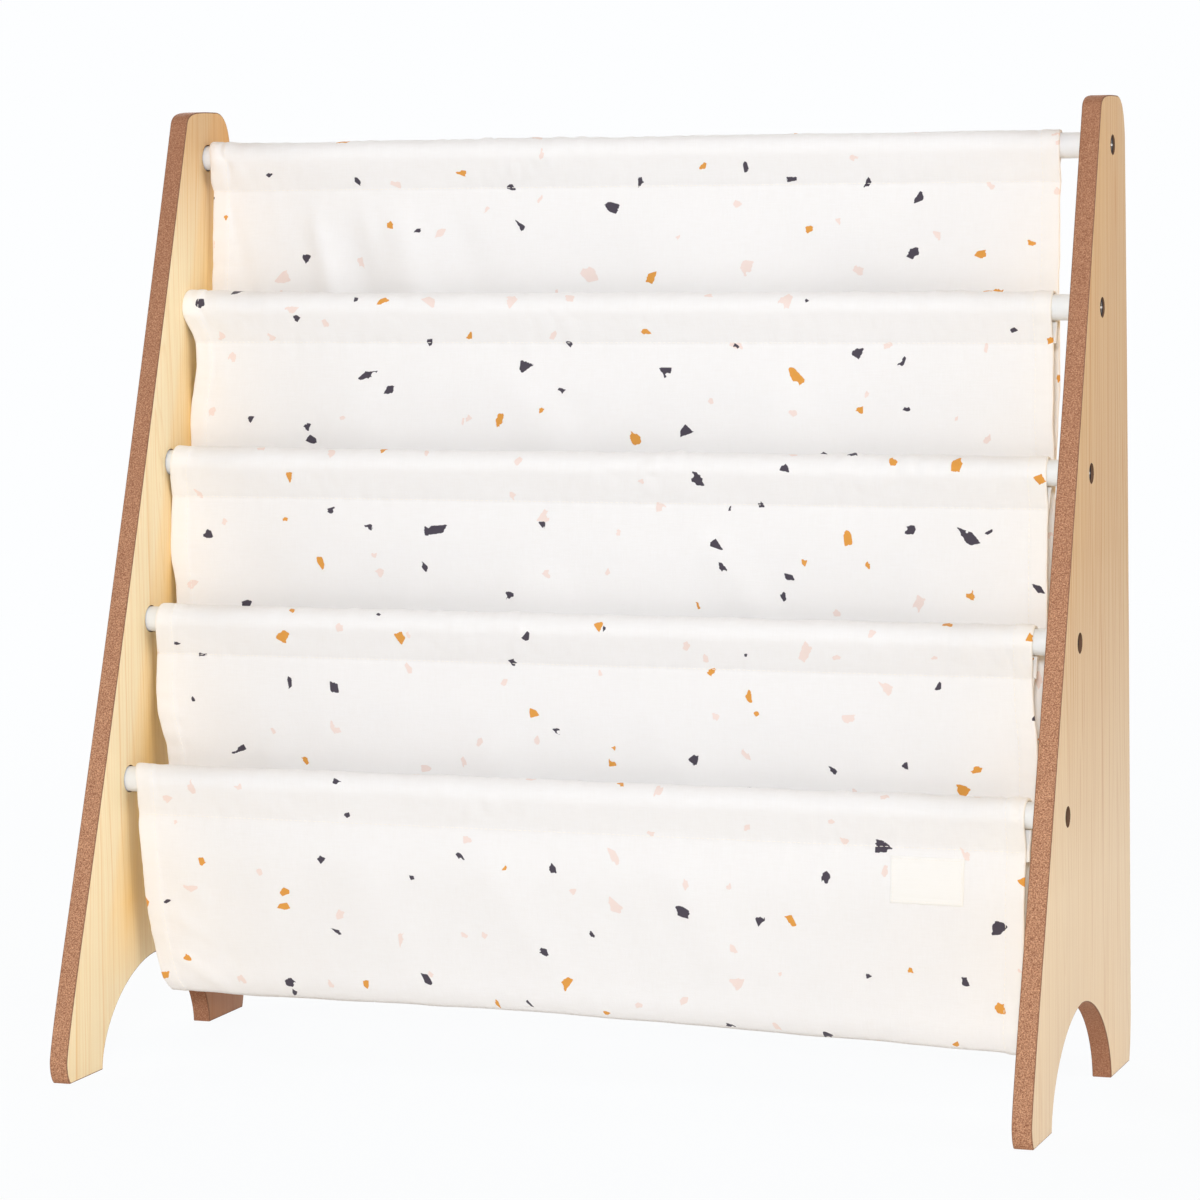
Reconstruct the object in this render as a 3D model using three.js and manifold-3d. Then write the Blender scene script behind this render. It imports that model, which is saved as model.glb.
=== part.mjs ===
// Sling bookshelf: two side panels joined by five rods, and a cloth sling sewn round the rods that hangs
// between them as four book pockets.
// Millimetres. +X is to the right, +Y to the back, +Z up. The origin is on the floor, midway between the
// panels and midway from front to back.
import * as THREE from 'three';
import { mergeVertices } from 'three/addons/utils/BufferGeometryUtils.js';
import Module from 'manifold-3d';

const wasm = await Module();
wasm.setup();

// The whole rack
const rackWidth = 620;
const rackDepth = 262;
const rackHeight = 602;
const boardThickness = 12;
const seatGap = 0.3;          // left between pieces that touch
const cutOverrun = 1;         // how far a cut runs past the face it opens
const innerWidth = rackWidth - 2 * boardThickness;

// The arch between a panel's front foot and back foot
const archWidth = 156.7;
const archHeight = 60.5;
const archPlaceShare = 0.4846;   // of the depth, from the front
const archPower = 1.78;          // 2 would be an ellipse
const archSteps = 24;

// The panel's outline from the side, as shares of the depth from the front and of the height. A list of
// four is a bend's control point and its end, and a list of two is the end of a straight stretch.
const footStartShare = [0.0172, 0];
const frontShares = [
  [0, 0.0073, 0, 0.0216],            // round the toe
  [0, 0.0344, 0.0782, 0.1329],       // up the instep
];
const frontEdgeShare = [0.4261, 0.5598, 0.7275, 0.9867];
const topAndBackShares = [
  [0.734, 0.9953, 0.7672, 0.9978],   // front top corner
  [0.7962, 1, 0.8626, 1],            // crown of the top
  [0.8969, 1],
  [0.9725, 1, 0.9821, 0.9568],       // back top corner
  [1, 0.6645, 1, 0.2492],            // back edge
  [1, 0.0515],
  [0.9962, 0.0199, 0.9805, 0],       // heel
];
const bendSteps = 8;

// Rods, numbered from the top
const rodCount = 5;
const rodDiameter = 16;
const rodChamfer = 0.8;
const topRodDrop = 30.4;      // from the panels' top down to the top rod's axis
const lowRodHeight = 177.2;   // from the floor up to the lowest rod's axis
const rodInset = 38.4;        // from the panels' front edge back to a rod's axis
const rodSides = 24;

// Sockets for the rods, in the panels' inner faces
const socketDepth = 3;
const socketClearance = 0.7;

// Screws through the panels into the rods
const shankDiameter = 4;
const shankLength = 32;
const shankPoint = 2;
const headDiameter = 11.8;
const headHeight = 2.4;
const headRim = 1.3;                                  // height of the head's straight side
const headSink = 2.4;                                 // how deep the lowest head sits below the face
const headSinkShares = [0.3, 0.3, 0.6, 0.85, 1];      // of that depth, from the top rod down
const headClearance = 0.4;
const shankClearance = 0.3;
const pilotRun = 3;                                   // how far the pilot hole runs past the point
const crossSpan = 6.4;
const crossWidth = 1.5;
const crossDepth = 1.5;
const screwSides = 16;

// Cloth
const clothThickness = 1.2;
const clothSideGap = 10;                                      // from the cloth to each panel, on average
const slideShares = [-0.82, -0.86, -0.51, -0.22, 0.18];       // of that gap, how far each rod's cloth slid
const seamDrop = 21.5;                                        // from a rod's axis down to the seam
const sleeveEase = 0.5;                                       // room between a rod and its sleeve
const lowPocketHeight = 39.7;                                 // of the lowest pocket's turn off the floor
const pocketDip = 8.5;                                        // how much lower its right end hangs
const dipShares = [0.4, 0.6, 0.3, 1];                         // of that dip, in each pocket
const dipStartShare = 0.35;                                   // of the width, where the dip begins
const dipPower = 1.5;
const foldDepth = 2.4;                                        // of the soft folds down the walls
const foldCounts = [2.5, 1.5, 2, 1.75];                       // folds across each pocket
const foldStartShares = [0.1, 0.45, 0.7, 0.25];               // of one fold, where the first one starts
const clothSteps = 12;
const lineSteps = 36;
const clothWidth = innerWidth - 2 * clothSideGap;

// A pocket from the side. Across, shares of the step from its lower rod back to its upper rod; down,
// shares of its drop below the lower rod.
const backWallShares = [[0.96, 0.02], [0.92, 0.42], [0.87, 0.78]];
const turnShares = [[0.8, 0.94], [0.58, 1], [0.38, 0.94]];
const hiddenFrontShares = [[0.27, 0.8], [0.14, 0.53], [0.06, 0.3]];
const shownFrontShares = [[0.31, 0.82], [0.12, 0.58], [-0.07, 0.34]];

// Sewn patch on the lowest pocket
const patchWidth = 45.3;
const patchHeight = 26.6;
const patchThickness = 0.6;
const patchSideInset = 41;    // from the cloth's right edge
const patchDrop = 8;          // from the seam
const patchSteps = 4;

const boardWood = new THREE.MeshStandardMaterial({ color: '#e8cfa4', roughness: 0.55, metalness: 0 });
const rodPaint = new THREE.MeshStandardMaterial({ color: '#f4f3f3', roughness: 0.35, metalness: 0 });
const screwMetal = new THREE.MeshStandardMaterial({ color: '#4f4346', roughness: 0.35, metalness: 0.9 });
const slingCloth = new THREE.MeshStandardMaterial({ color: '#faf5f0', roughness: 0.9, metalness: 0 });
const patchCloth = new THREE.MeshStandardMaterial({ color: '#fdfaf5', roughness: 0.85, metalness: 0 });

const rack = new THREE.Group();

// Adds a named piece to the rack and returns it.
function addPiece(name, geometry, material) {
  const piece = new THREE.Mesh(geometry, material);
  piece.name = name;
  rack.add(piece);
  return piece;
}

// A closed mesh as a solid that can be cut.
function solidOf(geometry) {
  const bare = geometry.clone();
  bare.deleteAttribute('normal');
  bare.deleteAttribute('uv');
  const merged = mergeVertices(bare);
  return new wasm.Manifold(new wasm.Mesh({
    numProp: 3,
    vertProperties: new Float32Array(merged.attributes.position.array),
    triVerts: new Uint32Array(merged.index.array),
  }));
}

// A cut solid as a mesh again.
function geometryOf(solid) {
  const cut = solid.getMesh();
  const geometry = new THREE.BufferGeometry();
  geometry.setAttribute('position', new THREE.BufferAttribute(new Float32Array(cut.vertProperties), 3));
  geometry.setIndex(new THREE.BufferAttribute(new Uint32Array(cut.triVerts), 1));
  geometry.computeVertexNormals();
  return geometry;
}

// The front edge's place from front to back at a height. Its control point lies midway up, so the
// curve's own parameter runs evenly with height.
function frontEdgeAt(height) {
  const [, instepTop] = frontShares.map((bend) => bend.slice(2));
  const low = instepTop[1] * rackHeight;
  const high = frontEdgeShare[3] * rackHeight;
  const t = (height - low) / (high - low);
  const share = (1 - t) ** 2 * instepTop[0] + 2 * t * (1 - t) * frontEdgeShare[0] + t ** 2 * frontEdgeShare[2];
  return share * rackDepth - rackDepth / 2;
}

// Rod axes, from the top rod down
const rodPitch = (rackHeight - topRodDrop - lowRodHeight) / (rodCount - 1);
const rodAxes = Array.from({ length: rodCount }, (_, i) => {
  const height = rackHeight - topRodDrop - i * rodPitch;
  return { y: frontEdgeAt(height) + rodInset, z: height, slide: slideShares[i] * clothSideGap };
});

// The panel seen from its side, front to back and up.
function panelOutline() {
  const across = (share) => share * rackDepth - rackDepth / 2;
  const up = (share) => share * rackHeight;
  const outline = new THREE.Shape();
  outline.moveTo(across(footStartShare[0]), up(footStartShare[1]));
  for (const stretch of [...frontShares, frontEdgeShare, ...topAndBackShares]) {
    const [a, b, c, d] = stretch;
    if (stretch.length === 4) outline.quadraticCurveTo(across(a), up(b), across(c), up(d));
    else outline.lineTo(across(a), up(b));
  }
  // The arch is a superellipse: across and up follow a cosine and a sine raised to 2 / archPower.
  for (let i = 0; i <= archSteps; i += 1) {
    const turn = (Math.PI * i) / archSteps;
    const cosine = Math.cos(turn);
    const reach = Math.sign(cosine) * Math.abs(cosine) ** (2 / archPower);
    const rise = i === archSteps ? 0 : Math.sin(turn) ** (2 / archPower);
    outline.lineTo(across(archPlaceShare) + (reach * archWidth) / 2, rise * archHeight);
  }
  return outline;
}

// A round cut along X between two places.
function roundCut(radius, from, to, axis, sides) {
  const cut = new THREE.CylinderGeometry(radius, radius, to - from, sides);
  cut.rotateZ(Math.PI / 2);
  cut.translate((from + to) / 2, axis.y, axis.z);
  return solidOf(cut);
}

// Depth of a rod's counterbores, so that its screw heads end their sink below the face.
function counterboreDepth(i) {
  return headSinkShares[i] * headSink + headHeight + seatGap;
}

// The right-hand panel, from its inner face at 0 to its outer face at the board's thickness.
function panelGeometry() {
  const board = new THREE.ExtrudeGeometry(panelOutline(), {
    depth: boardThickness, bevelEnabled: false, curveSegments: bendSteps,
  });
  // The outline's own X, Y and Z become the rack's Y, Z and X.
  board.applyMatrix4(new THREE.Matrix4().set(0, 0, 1, 0, 1, 0, 0, 0, 0, 1, 0, 0, 0, 0, 0, 1));
  let panel = solidOf(board);
  rodAxes.forEach((axis, i) => {
    const past = boardThickness + cutOverrun;
    const seat = boardThickness - counterboreDepth(i);
    const socket = roundCut(rodDiameter / 2 + socketClearance, -cutOverrun, socketDepth, axis, rodSides);
    const counterbore = roundCut(headDiameter / 2 + headClearance, seat, past, axis, rodSides);
    const through = roundCut(shankDiameter / 2 + shankClearance, -cutOverrun, past, axis, screwSides);
    panel = panel.subtract(socket).subtract(counterbore).subtract(through);
  });
  return geometryOf(panel);
}

function mirrored(geometry) {
  const turned = geometry.clone().scale(-1, 1, 1);
  const { array } = turned.index;
  for (let i = 0; i < array.length; i += 3) [array[i], array[i + 1]] = [array[i + 1], array[i]];
  turned.computeVertexNormals();
  return turned;
}

function addPanels() {
  const right = panelGeometry();
  addPiece('side_panel_right', right, boardWood).position.x = innerWidth / 2;
  addPiece('side_panel_left', mirrored(right), boardWood).position.x = -innerWidth / 2;
}

// A rod ends just short of its sockets' floors, and has a pilot hole in each end.
function addRods() {
  const half = innerWidth / 2 + socketDepth - seatGap;
  const radius = rodDiameter / 2;
  const pilotRadius = shankDiameter / 2 + shankClearance;
  rodAxes.forEach((axis, i) => {
    const shankEnd = rackWidth / 2 - counterboreDepth(i) + seatGap - shankLength;
    const pilotEnd = shankEnd - pilotRun;
    const profile = [
      [0, pilotEnd], [pilotRadius, pilotEnd], [pilotRadius, half], [radius - rodChamfer, half],
      [radius, half - rodChamfer],
    ];
    const below = profile.map(([r, along]) => [r, -along]);
    const points = [...below, ...profile.reverse()].map(([r, along]) => new THREE.Vector2(r, along));
    const rod = addPiece(`rod_${i + 1}`, new THREE.LatheGeometry(points, rodSides), rodPaint);
    rod.rotation.z = Math.PI / 2;
    rod.position.set(0, axis.y, axis.z);
  });
}

// A screw along Y, its head's underside at 0 and its domed top with the cross recess pointing up.
function screwGeometry() {
  const headRadius = headDiameter / 2;
  const dome = headHeight - headRim;
  const profile = [
    [0, -shankLength], [shankDiameter / 4, -shankLength], [shankDiameter / 2, -shankLength + shankPoint],
    [shankDiameter / 2, 0], [headRadius, 0], [headRadius, headRim], [headRadius * 0.87, headRim + dome * 0.55],
    [headRadius * 0.6, headRim + dome * 0.9], [0, headHeight],
  ];
  const points = profile.map(([r, along]) => new THREE.Vector2(r, along));
  let screw = solidOf(new THREE.LatheGeometry(points, screwSides));
  for (const turn of [0, Math.PI / 2]) {
    const slot = new THREE.BoxGeometry(crossSpan, crossDepth + cutOverrun, crossWidth);
    slot.rotateY(turn);
    slot.translate(0, headHeight - crossDepth + (crossDepth + cutOverrun) / 2, 0);
    screw = screw.subtract(solidOf(slot));
  }
  return geometryOf(screw);
}

function addScrews() {
  const screw = screwGeometry();
  for (const [name, side] of [['right', 1], ['left', -1]]) {
    rodAxes.forEach((axis, i) => {
      const seat = rackWidth / 2 - counterboreDepth(i) + seatGap;
      const piece = addPiece(`screw_${name}_${i + 1}`, screw, screwMetal);
      piece.rotation.z = (-side * Math.PI) / 2;
      piece.position.set(side * seat, axis.y, axis.z);
    });
  }
}

// A sleeve seen from the side, round a rod's axis: a circle over the rod, and straight sides that run
// down from it, touching it, to a narrow foot at the seam.
function sleeveLoop(radius, footWidth, footDrop) {
  const reach = Math.hypot(footWidth / 2, footDrop);
  const start = Math.atan2(footWidth / 2, footDrop) + Math.acos(radius / reach) - Math.PI / 2;
  const loop = [];
  const arcSteps = 12;
  for (let i = 0; i <= arcSteps; i += 1) {
    const turn = start + ((Math.PI - 2 * start) * i) / arcSteps;
    loop.push(new THREE.Vector2(radius * Math.cos(turn), radius * Math.sin(turn)));
  }
  loop.push(new THREE.Vector2(-footWidth / 2, -footDrop), new THREE.Vector2(footWidth / 2, -footDrop));
  return loop;
}

function addSleeves() {
  const inside = rodDiameter / 2 + sleeveEase;
  const foot = 2 * clothThickness + seatGap;
  rodAxes.forEach((axis, i) => {
    const outline = new THREE.Shape(sleeveLoop(inside + clothThickness, foot, seamDrop));
    outline.holes.push(new THREE.Path(sleeveLoop(inside, seatGap, seamDrop - 2 * clothThickness)));
    const sleeve = new THREE.ExtrudeGeometry(outline, { depth: clothWidth, bevelEnabled: false });
    sleeve.applyMatrix4(new THREE.Matrix4().set(0, 0, 1, 0, 1, 0, 0, 0, 0, 1, 0, 0, 0, 0, 0, 1));
    addPiece(`sleeve_${i + 1}`, sleeve, slingCloth).position.set(axis.slide - clothWidth / 2, axis.y, axis.z);
  });
}

// Rises smoothly from 0 to 1 as t runs from 0 to 1.
const eased = (t) => THREE.MathUtils.smoothstep(t, 0, 1);

// The side view of pocket i at a share of the width: from its upper rod's seam down, under and up to its
// lower rod's seam. Walls that share a seam hang side by side, the next pocket's in front.
function pocketLine(i, across) {
  const upper = rodAxes[i];
  const lower = rodAxes[i + 1];
  const step = upper.y - lower.y;
  const past = Math.max(0, (across - dipStartShare) / (1 - dipStartShare));
  const drop = lowRodHeight - lowPocketHeight + pocketDip * dipShares[i] * past ** dipPower;
  const shown = i === rodCount - 2;
  const aside = (clothThickness + seatGap) / 2;
  const under = seamDrop + seatGap;
  const shares = [...backWallShares, ...turnShares, ...(shown ? shownFrontShares : hiddenFrontShares)];
  const points = [
    new THREE.Vector3(0, upper.y - (i === 0 ? 0 : aside), upper.z - under),
    ...shares.map(([a, b]) => new THREE.Vector3(0, lower.y + a * step, lower.z - b * drop)),
    new THREE.Vector3(0, lower.y + (shown ? 0 : aside), lower.z - under),
  ];
  return new THREE.CatmullRomCurve3(points, false, 'centripetal');
}

// A point of pocket i's cloth: the side view's point, with soft folds that die out at both seams, and
// each end slid along its rod.
function pocketPoint(i, line, across, along) {
  const point = line.getPointAt(along);
  const fold = Math.sin(2 * Math.PI * (foldCounts[i] * across + foldStartShares[i] + 0.4 * along));
  point.y += foldDepth * fold * Math.sin(Math.PI * along) ** 2;
  const slide = THREE.MathUtils.lerp(rodAxes[i].slide, rodAxes[i + 1].slide, eased(along));
  point.x = (across - 0.5) * clothWidth + slide;
  return point;
}

// A closed sheet of one thickness whose middle runs through a grid of points, given row by row.
function sheetGeometry(grid, thickness) {
  const rows = grid.length;
  const columns = grid[0].length;
  const at = (r, c) => grid[THREE.MathUtils.clamp(r, 0, rows - 1)][THREE.MathUtils.clamp(c, 0, columns - 1)];
  const positions = [];
  for (const side of [1, -1]) {
    for (let r = 0; r < rows; r += 1) {
      for (let c = 0; c < columns; c += 1) {
        const down = at(r + 1, c).clone().sub(at(r - 1, c));
        const over = at(r, c + 1).clone().sub(at(r, c - 1));
        const normal = down.cross(over).normalize();
        positions.push(...at(r, c).clone().addScaledVector(normal, (side * thickness) / 2).toArray());
      }
    }
  }
  const faces = [];
  const addQuad = (a, b, c, d) => faces.push(a, b, c, a, c, d);
  const back = rows * columns;
  for (let r = 0; r < rows - 1; r += 1) {
    for (let c = 0; c < columns - 1; c += 1) {
      const corner = r * columns + c;
      addQuad(corner, corner + columns, corner + columns + 1, corner + 1);
      addQuad(back + corner, back + corner + 1, back + corner + columns + 1, back + corner + columns);
    }
  }
  const rim = [];
  for (let c = 0; c < columns - 1; c += 1) rim.push(c);
  for (let r = 0; r < rows - 1; r += 1) rim.push(r * columns + columns - 1);
  for (let c = columns - 1; c > 0; c -= 1) rim.push((rows - 1) * columns + c);
  for (let r = rows - 1; r > 0; r -= 1) rim.push(r * columns);
  rim.forEach((here, n) => {
    const next = rim[(n + 1) % rim.length];
    addQuad(here, next, back + next, back + here);
  });
  const sheet = new THREE.BufferGeometry();
  sheet.setAttribute('position', new THREE.Float32BufferAttribute(positions, 3));
  sheet.setIndex(faces);
  sheet.computeVertexNormals();
  return sheet;
}

function addPockets() {
  for (let i = 0; i < rodCount - 1; i += 1) {
    const grid = [];
    for (let c = 0; c <= clothSteps; c += 1) {
      const across = c / clothSteps;
      const line = pocketLine(i, across);
      const row = [];
      for (let n = 0; n <= lineSteps; n += 1) row.push(pocketPoint(i, line, across, n / lineSteps));
      grid.push(row);
    }
    addPiece(`pocket_${i + 1}`, sheetGeometry(grid, clothThickness), slingCloth);
  }
}

// The patch lies on the front of the lowest pocket and follows its cloth.
function addPatch() {
  const i = rodCount - 2;
  const offset = clothThickness / 2 + seatGap + patchThickness / 2;
  const grid = [];
  for (let c = 0; c <= patchSteps; c += 1) {
    const across = 1 - (patchSideInset + patchWidth * (1 - c / patchSteps)) / clothWidth;
    const line = pocketLine(i, across);
    const length = line.getLength();
    const row = [];
    for (let n = 0; n <= patchSteps; n += 1) {
      const along = 1 - (patchDrop + patchHeight * (1 - n / patchSteps)) / length;
      const point = pocketPoint(i, line, across, along);
      const [before, after] = [-1, 1].map((s) => pocketPoint(i, line, across, along + s / length));
      const up = after.sub(before).setX(0).normalize();
      point.y -= up.z * offset;
      point.z += up.y * offset;
      row.push(point);
    }
    grid.push(row);
  }
  addPiece('label_patch', sheetGeometry(grid, patchThickness), patchCloth);
}

addPanels();
addRods();
addScrews();
addSleeves();
addPockets();
addPatch();

export default rack;
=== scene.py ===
import math

import bmesh
import bpy
import numpy as np
from mathutils import Matrix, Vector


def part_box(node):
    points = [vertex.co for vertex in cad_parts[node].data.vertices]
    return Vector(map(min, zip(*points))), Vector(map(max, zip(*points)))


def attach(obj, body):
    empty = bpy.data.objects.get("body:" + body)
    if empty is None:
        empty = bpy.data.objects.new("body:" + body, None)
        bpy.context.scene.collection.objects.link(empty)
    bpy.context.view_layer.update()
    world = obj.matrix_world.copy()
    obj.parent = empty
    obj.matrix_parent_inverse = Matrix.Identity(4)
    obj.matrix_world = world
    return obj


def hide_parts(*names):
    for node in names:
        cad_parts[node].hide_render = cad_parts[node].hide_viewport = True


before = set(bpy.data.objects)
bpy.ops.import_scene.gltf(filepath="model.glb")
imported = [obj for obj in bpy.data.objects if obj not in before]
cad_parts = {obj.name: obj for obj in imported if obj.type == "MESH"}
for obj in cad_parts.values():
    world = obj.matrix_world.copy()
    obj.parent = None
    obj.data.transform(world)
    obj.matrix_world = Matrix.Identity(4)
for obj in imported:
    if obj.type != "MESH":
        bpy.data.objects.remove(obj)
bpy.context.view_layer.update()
print("frame loaded:", len(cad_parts), "pieces")

# metres throughout; +x is to the right, +y to the back, +z up, and the floor is z = 0

camera = {
    "place": (0.85363, -2.35575, 0.53610),
    "turn": 19.3565,               # degrees round the rack, to its right
    "dip": 2.4807,                 # degrees below level
    "roll": -0.5836,
    "lens": 121.959, "film": 36,   # millimetres
    "shift": (-0.02292, -0.18006),
}


# puts data, such as a mesh or a lamp, into the scene
def addObject(name, data):
    made = bpy.data.objects.new(name, data)
    bpy.context.scene.collection.objects.link(made)
    return made


# directions brought to a length of 1
def unit(ways):
    return ways / np.linalg.norm(ways, axis=-1, keepdims=True)


# even angles round a circle, and the points there
def turns(sides):
    return np.arange(sides) * math.tau / sides


def circle(turn):
    return np.stack([np.cos(turn), np.sin(turn)], -1)


# the direction that lies so many degrees round the rack to its right, and so many up
def bearing(around, up):
    turn, rise = math.radians(around), math.radians(up)
    return np.array([math.sin(turn) * math.cos(rise), -math.cos(turn) * math.cos(rise), math.sin(rise)])


# places a camera or lamp with its back turned a given way, and rolled about that by so many degrees
def stand(holder, place, back, roll=0):
    tilt, right = math.radians(roll), unit(np.cross([0, 0, 1], back))
    right = right * math.cos(tilt) + np.cross(back, right) * math.sin(tilt)
    axes = np.eye(4)
    axes[:3] = np.column_stack([right, np.cross(back, right), back, place])
    holder.matrix_world = Matrix(axes.tolist())


# the lens is shifted, as on a view camera, which keeps upright edges nearly parallel
def addCamera(c):
    lens = bpy.data.cameras.new("camera")
    lens.lens, lens.sensor_width, lens.sensor_fit = c["lens"], c["film"], "HORIZONTAL"
    lens.shift_x, lens.shift_y = c["shift"]
    lens.clip_start, lens.clip_end = 0.05, 60
    holder = addObject("camera", lens)
    stand(holder, c["place"], bearing(c["turn"], c["dip"]), c["roll"])
    bpy.context.scene.camera = holder


addCamera(camera)

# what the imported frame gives: rod axes from the top down, panel faces and the places of the cloth
rodCount = 5
rodBoxes = [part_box(f"rod_{n}") for n in range(1, rodCount + 1)]
rodAxes = np.array([((low[1] + high[1]) / 2, (low[2] + high[2]) / 2) for low, high in rodBoxes])
rodRadius = (rodBoxes[0][1][2] - rodBoxes[0][0][2]) / 2
rodEnd = rodBoxes[0][1][0]
panelLow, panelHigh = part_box("side_panel_right")
innerFace, outerFace = panelLow[0], panelHigh[0]
boardThick = outerFace - innerFace


# the method for an operator sign: a Math node, with its values swapped where the Wire comes second
def sign(operation, swapped=False):
    def made(self, other):
        return self.node("Math", {"operation": operation}, {int(swapped): self, int(not swapped): other})
    return made


# shader maths: a Wire holds one output socket, and operators on it add Math nodes
class Wire:
    def __init__(self, tree, socket=None):
        self.tree, self.socket = tree, socket

    # any shader node, from its type, its settings, its inputs' values or links, and the output wanted
    def node(self, kind, settings, inputs, output=0):
        made = self.tree.nodes.new("ShaderNode" + kind)
        for key, value in settings.items():
            setattr(made, key, value)
        for key, value in inputs.items():
            if isinstance(value, Wire):
                self.tree.links.new(value.socket, made.inputs[key])
            else:
                made.inputs[key].default_value = value
        return Wire(self.tree, made.outputs[output]) if len(made.outputs) else None

    # another output of the same node
    def also(self, output):
        return Wire(self.tree, self.socket.node.outputs[output])

    def math(self, operation, *others):
        return self.node("Math", {"operation": operation}, dict(enumerate((self, *others))))

    # from 0 at one value to 1 at the other, and level past both
    def ramp(self, low, high):
        steep = 1 / (high - low)
        settings = {"operation": "MULTIPLY_ADD", "use_clamp": True}
        return self.node("Math", settings, {0: self, 1: steep, 2: -low * steep})

    def vector(self, operation, other):
        return self.node("VectorMath", {"operation": operation}, {0: self, 1: other})

    def axes(self):
        x = self.node("SeparateXYZ", {}, {0: self})
        return x, x.also("Y"), x.also("Z")

    __add__, __radd__ = sign("ADD"), sign("ADD", True)
    __sub__, __rsub__ = sign("SUBTRACT"), sign("SUBTRACT", True)
    __mul__, __rmul__ = sign("MULTIPLY"), sign("MULTIPLY", True)
    __truediv__, __pow__, __lt__ = sign("DIVIDE"), sign("POWER"), sign("LESS_THAN")


# a colour as screens write it, 0 to 255, as the linear colour that nodes take
def shade(red, green, blue):
    value = np.array([red, green, blue]) / 255
    linear = np.where(value <= 0.04045, value / 12.92, ((value + 0.055) / 1.055) ** 2.4)
    return (*linear.tolist(), 1.0)


# a new material and its coordinate: the object's own, or the cloth's flat one
def newFinish(name, kind="Object"):
    material = bpy.data.materials.new(name)
    material.use_nodes = True
    material.node_tree.nodes.clear()
    wire = Wire(material.node_tree)
    if kind == "flat":
        return material, wire.node("UVMap", {"uv_map": "flat"}, {})
    return material, wire.node("TexCoord", {}, {}, kind)


# two colours, as screens write them or as Wires, mixed by a share
def mixed(share, first, second, blend="MIX"):
    first, second = (tone if isinstance(tone, Wire) else shade(*tone) for tone in (first, second))
    return share.node("Mix", {"data_type": "RGBA", "blend_type": blend}, {0: share, 6: first, 7: second}, 2)


# noise over a coordinate, with one scale for all its axes or one for each
def noise(place, scale, detail=2.0, rough=0.5):
    if isinstance(scale, tuple):
        place, scale = place.vector("MULTIPLY", scale), 1.0
    return place.node("TexNoise", {}, {"Vector": place, "Scale": scale, "Detail": detail, "Roughness": rough})


# closes a material: varying colour, roughness and height, and plain numbers for every other socket
def finishWith(colour, roughness, height, depth, **plain):
    bump = colour.node("Bump", {}, {"Strength": 1.0, "Distance": depth, "Height": height})
    inputs = {"Base Color": colour, "Roughness": roughness, "Normal": bump}
    inputs.update({key.replace("_", " "): value for key, value in plain.items()})
    surface = colour.node("BsdfPrincipled", {}, inputs)
    colour.node("OutputMaterial", {}, {"Surface": surface})


boardLook = {
    # per face: "low" is its tone, the inner face's painted paler and yellower than the outer's for the light
    # it gets, though both are one veneer; "high" is its painted shade tone; then its lines' colour and how
    # strongly its finest lines show
    "inner": {"low": (248, 226, 183), "high": (255, 209, 134), "line": (230, 176, 98), "pins": 0.34},
    "outer": {"low": (243, 216, 178), "high": (214, 175, 123), "line": (196, 132, 68), "pins": 1.0},
    "top": (230, 207, 186), "foot": (176, 132, 108),      # painted shade on the inner face's top, and painted shadow on its rear foot
    "peaks": 0.9,              # how strongly the rings show
    "ringPitch": 0.0094,       # between the annual rings' lines
    "pinPitch": 0.0040,        # between the finest regular lines
    "ringLean": 0.055,         # how long a cathedral peak is drawn out, 1 would be round
    "heart": 0.36, "outerShift": (0.0, 0.061, 0.173),     # the peaks' height, and the other board's cut
    "scales": {"slow": (2.0, 8.0, 1.5), "sway": (5.0, 30.0, 5.0), "patchy": (4.0, 26.0, 4.0),
               "broken": (8.0, 260.0, 5.0), "streaks": (8.0, 150.0, 6.0), "pores": (60.0, 900.0, 11.0)},
    "roughness": 0.46,
    "paintedShadeUp": ((0.13, 0.33, 0.8), (0.13, 0.53, 0.2)),     # painted shade up the outer face: from, to, how much of it
    "firm": (0.36, 0.9),                       # how strong its figure is low down, and its gain under the painted shade
    "rodLean": 0.328, "rodFoot": -0.096,       # the rods lie in the plane y = lean z + foot
    "paintedShadeBehindRods": ((-0.0081, 0.0009, 0.45), (0.0064, 0.0224, 0.55)),   # painted shade past it, where the cloth shades the face, given as up the outer face
    "shadeFadesLow": (0.05, 0.1),                    # but the painted shade fades out down here
    "topShadeFrom": (0.5, 0.5847), "footShadowFrom": ((0.128, 0.088), (0.024, 0.064)),    # where the painted shade at the top and the painted shadow on the foot begin
}
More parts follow.
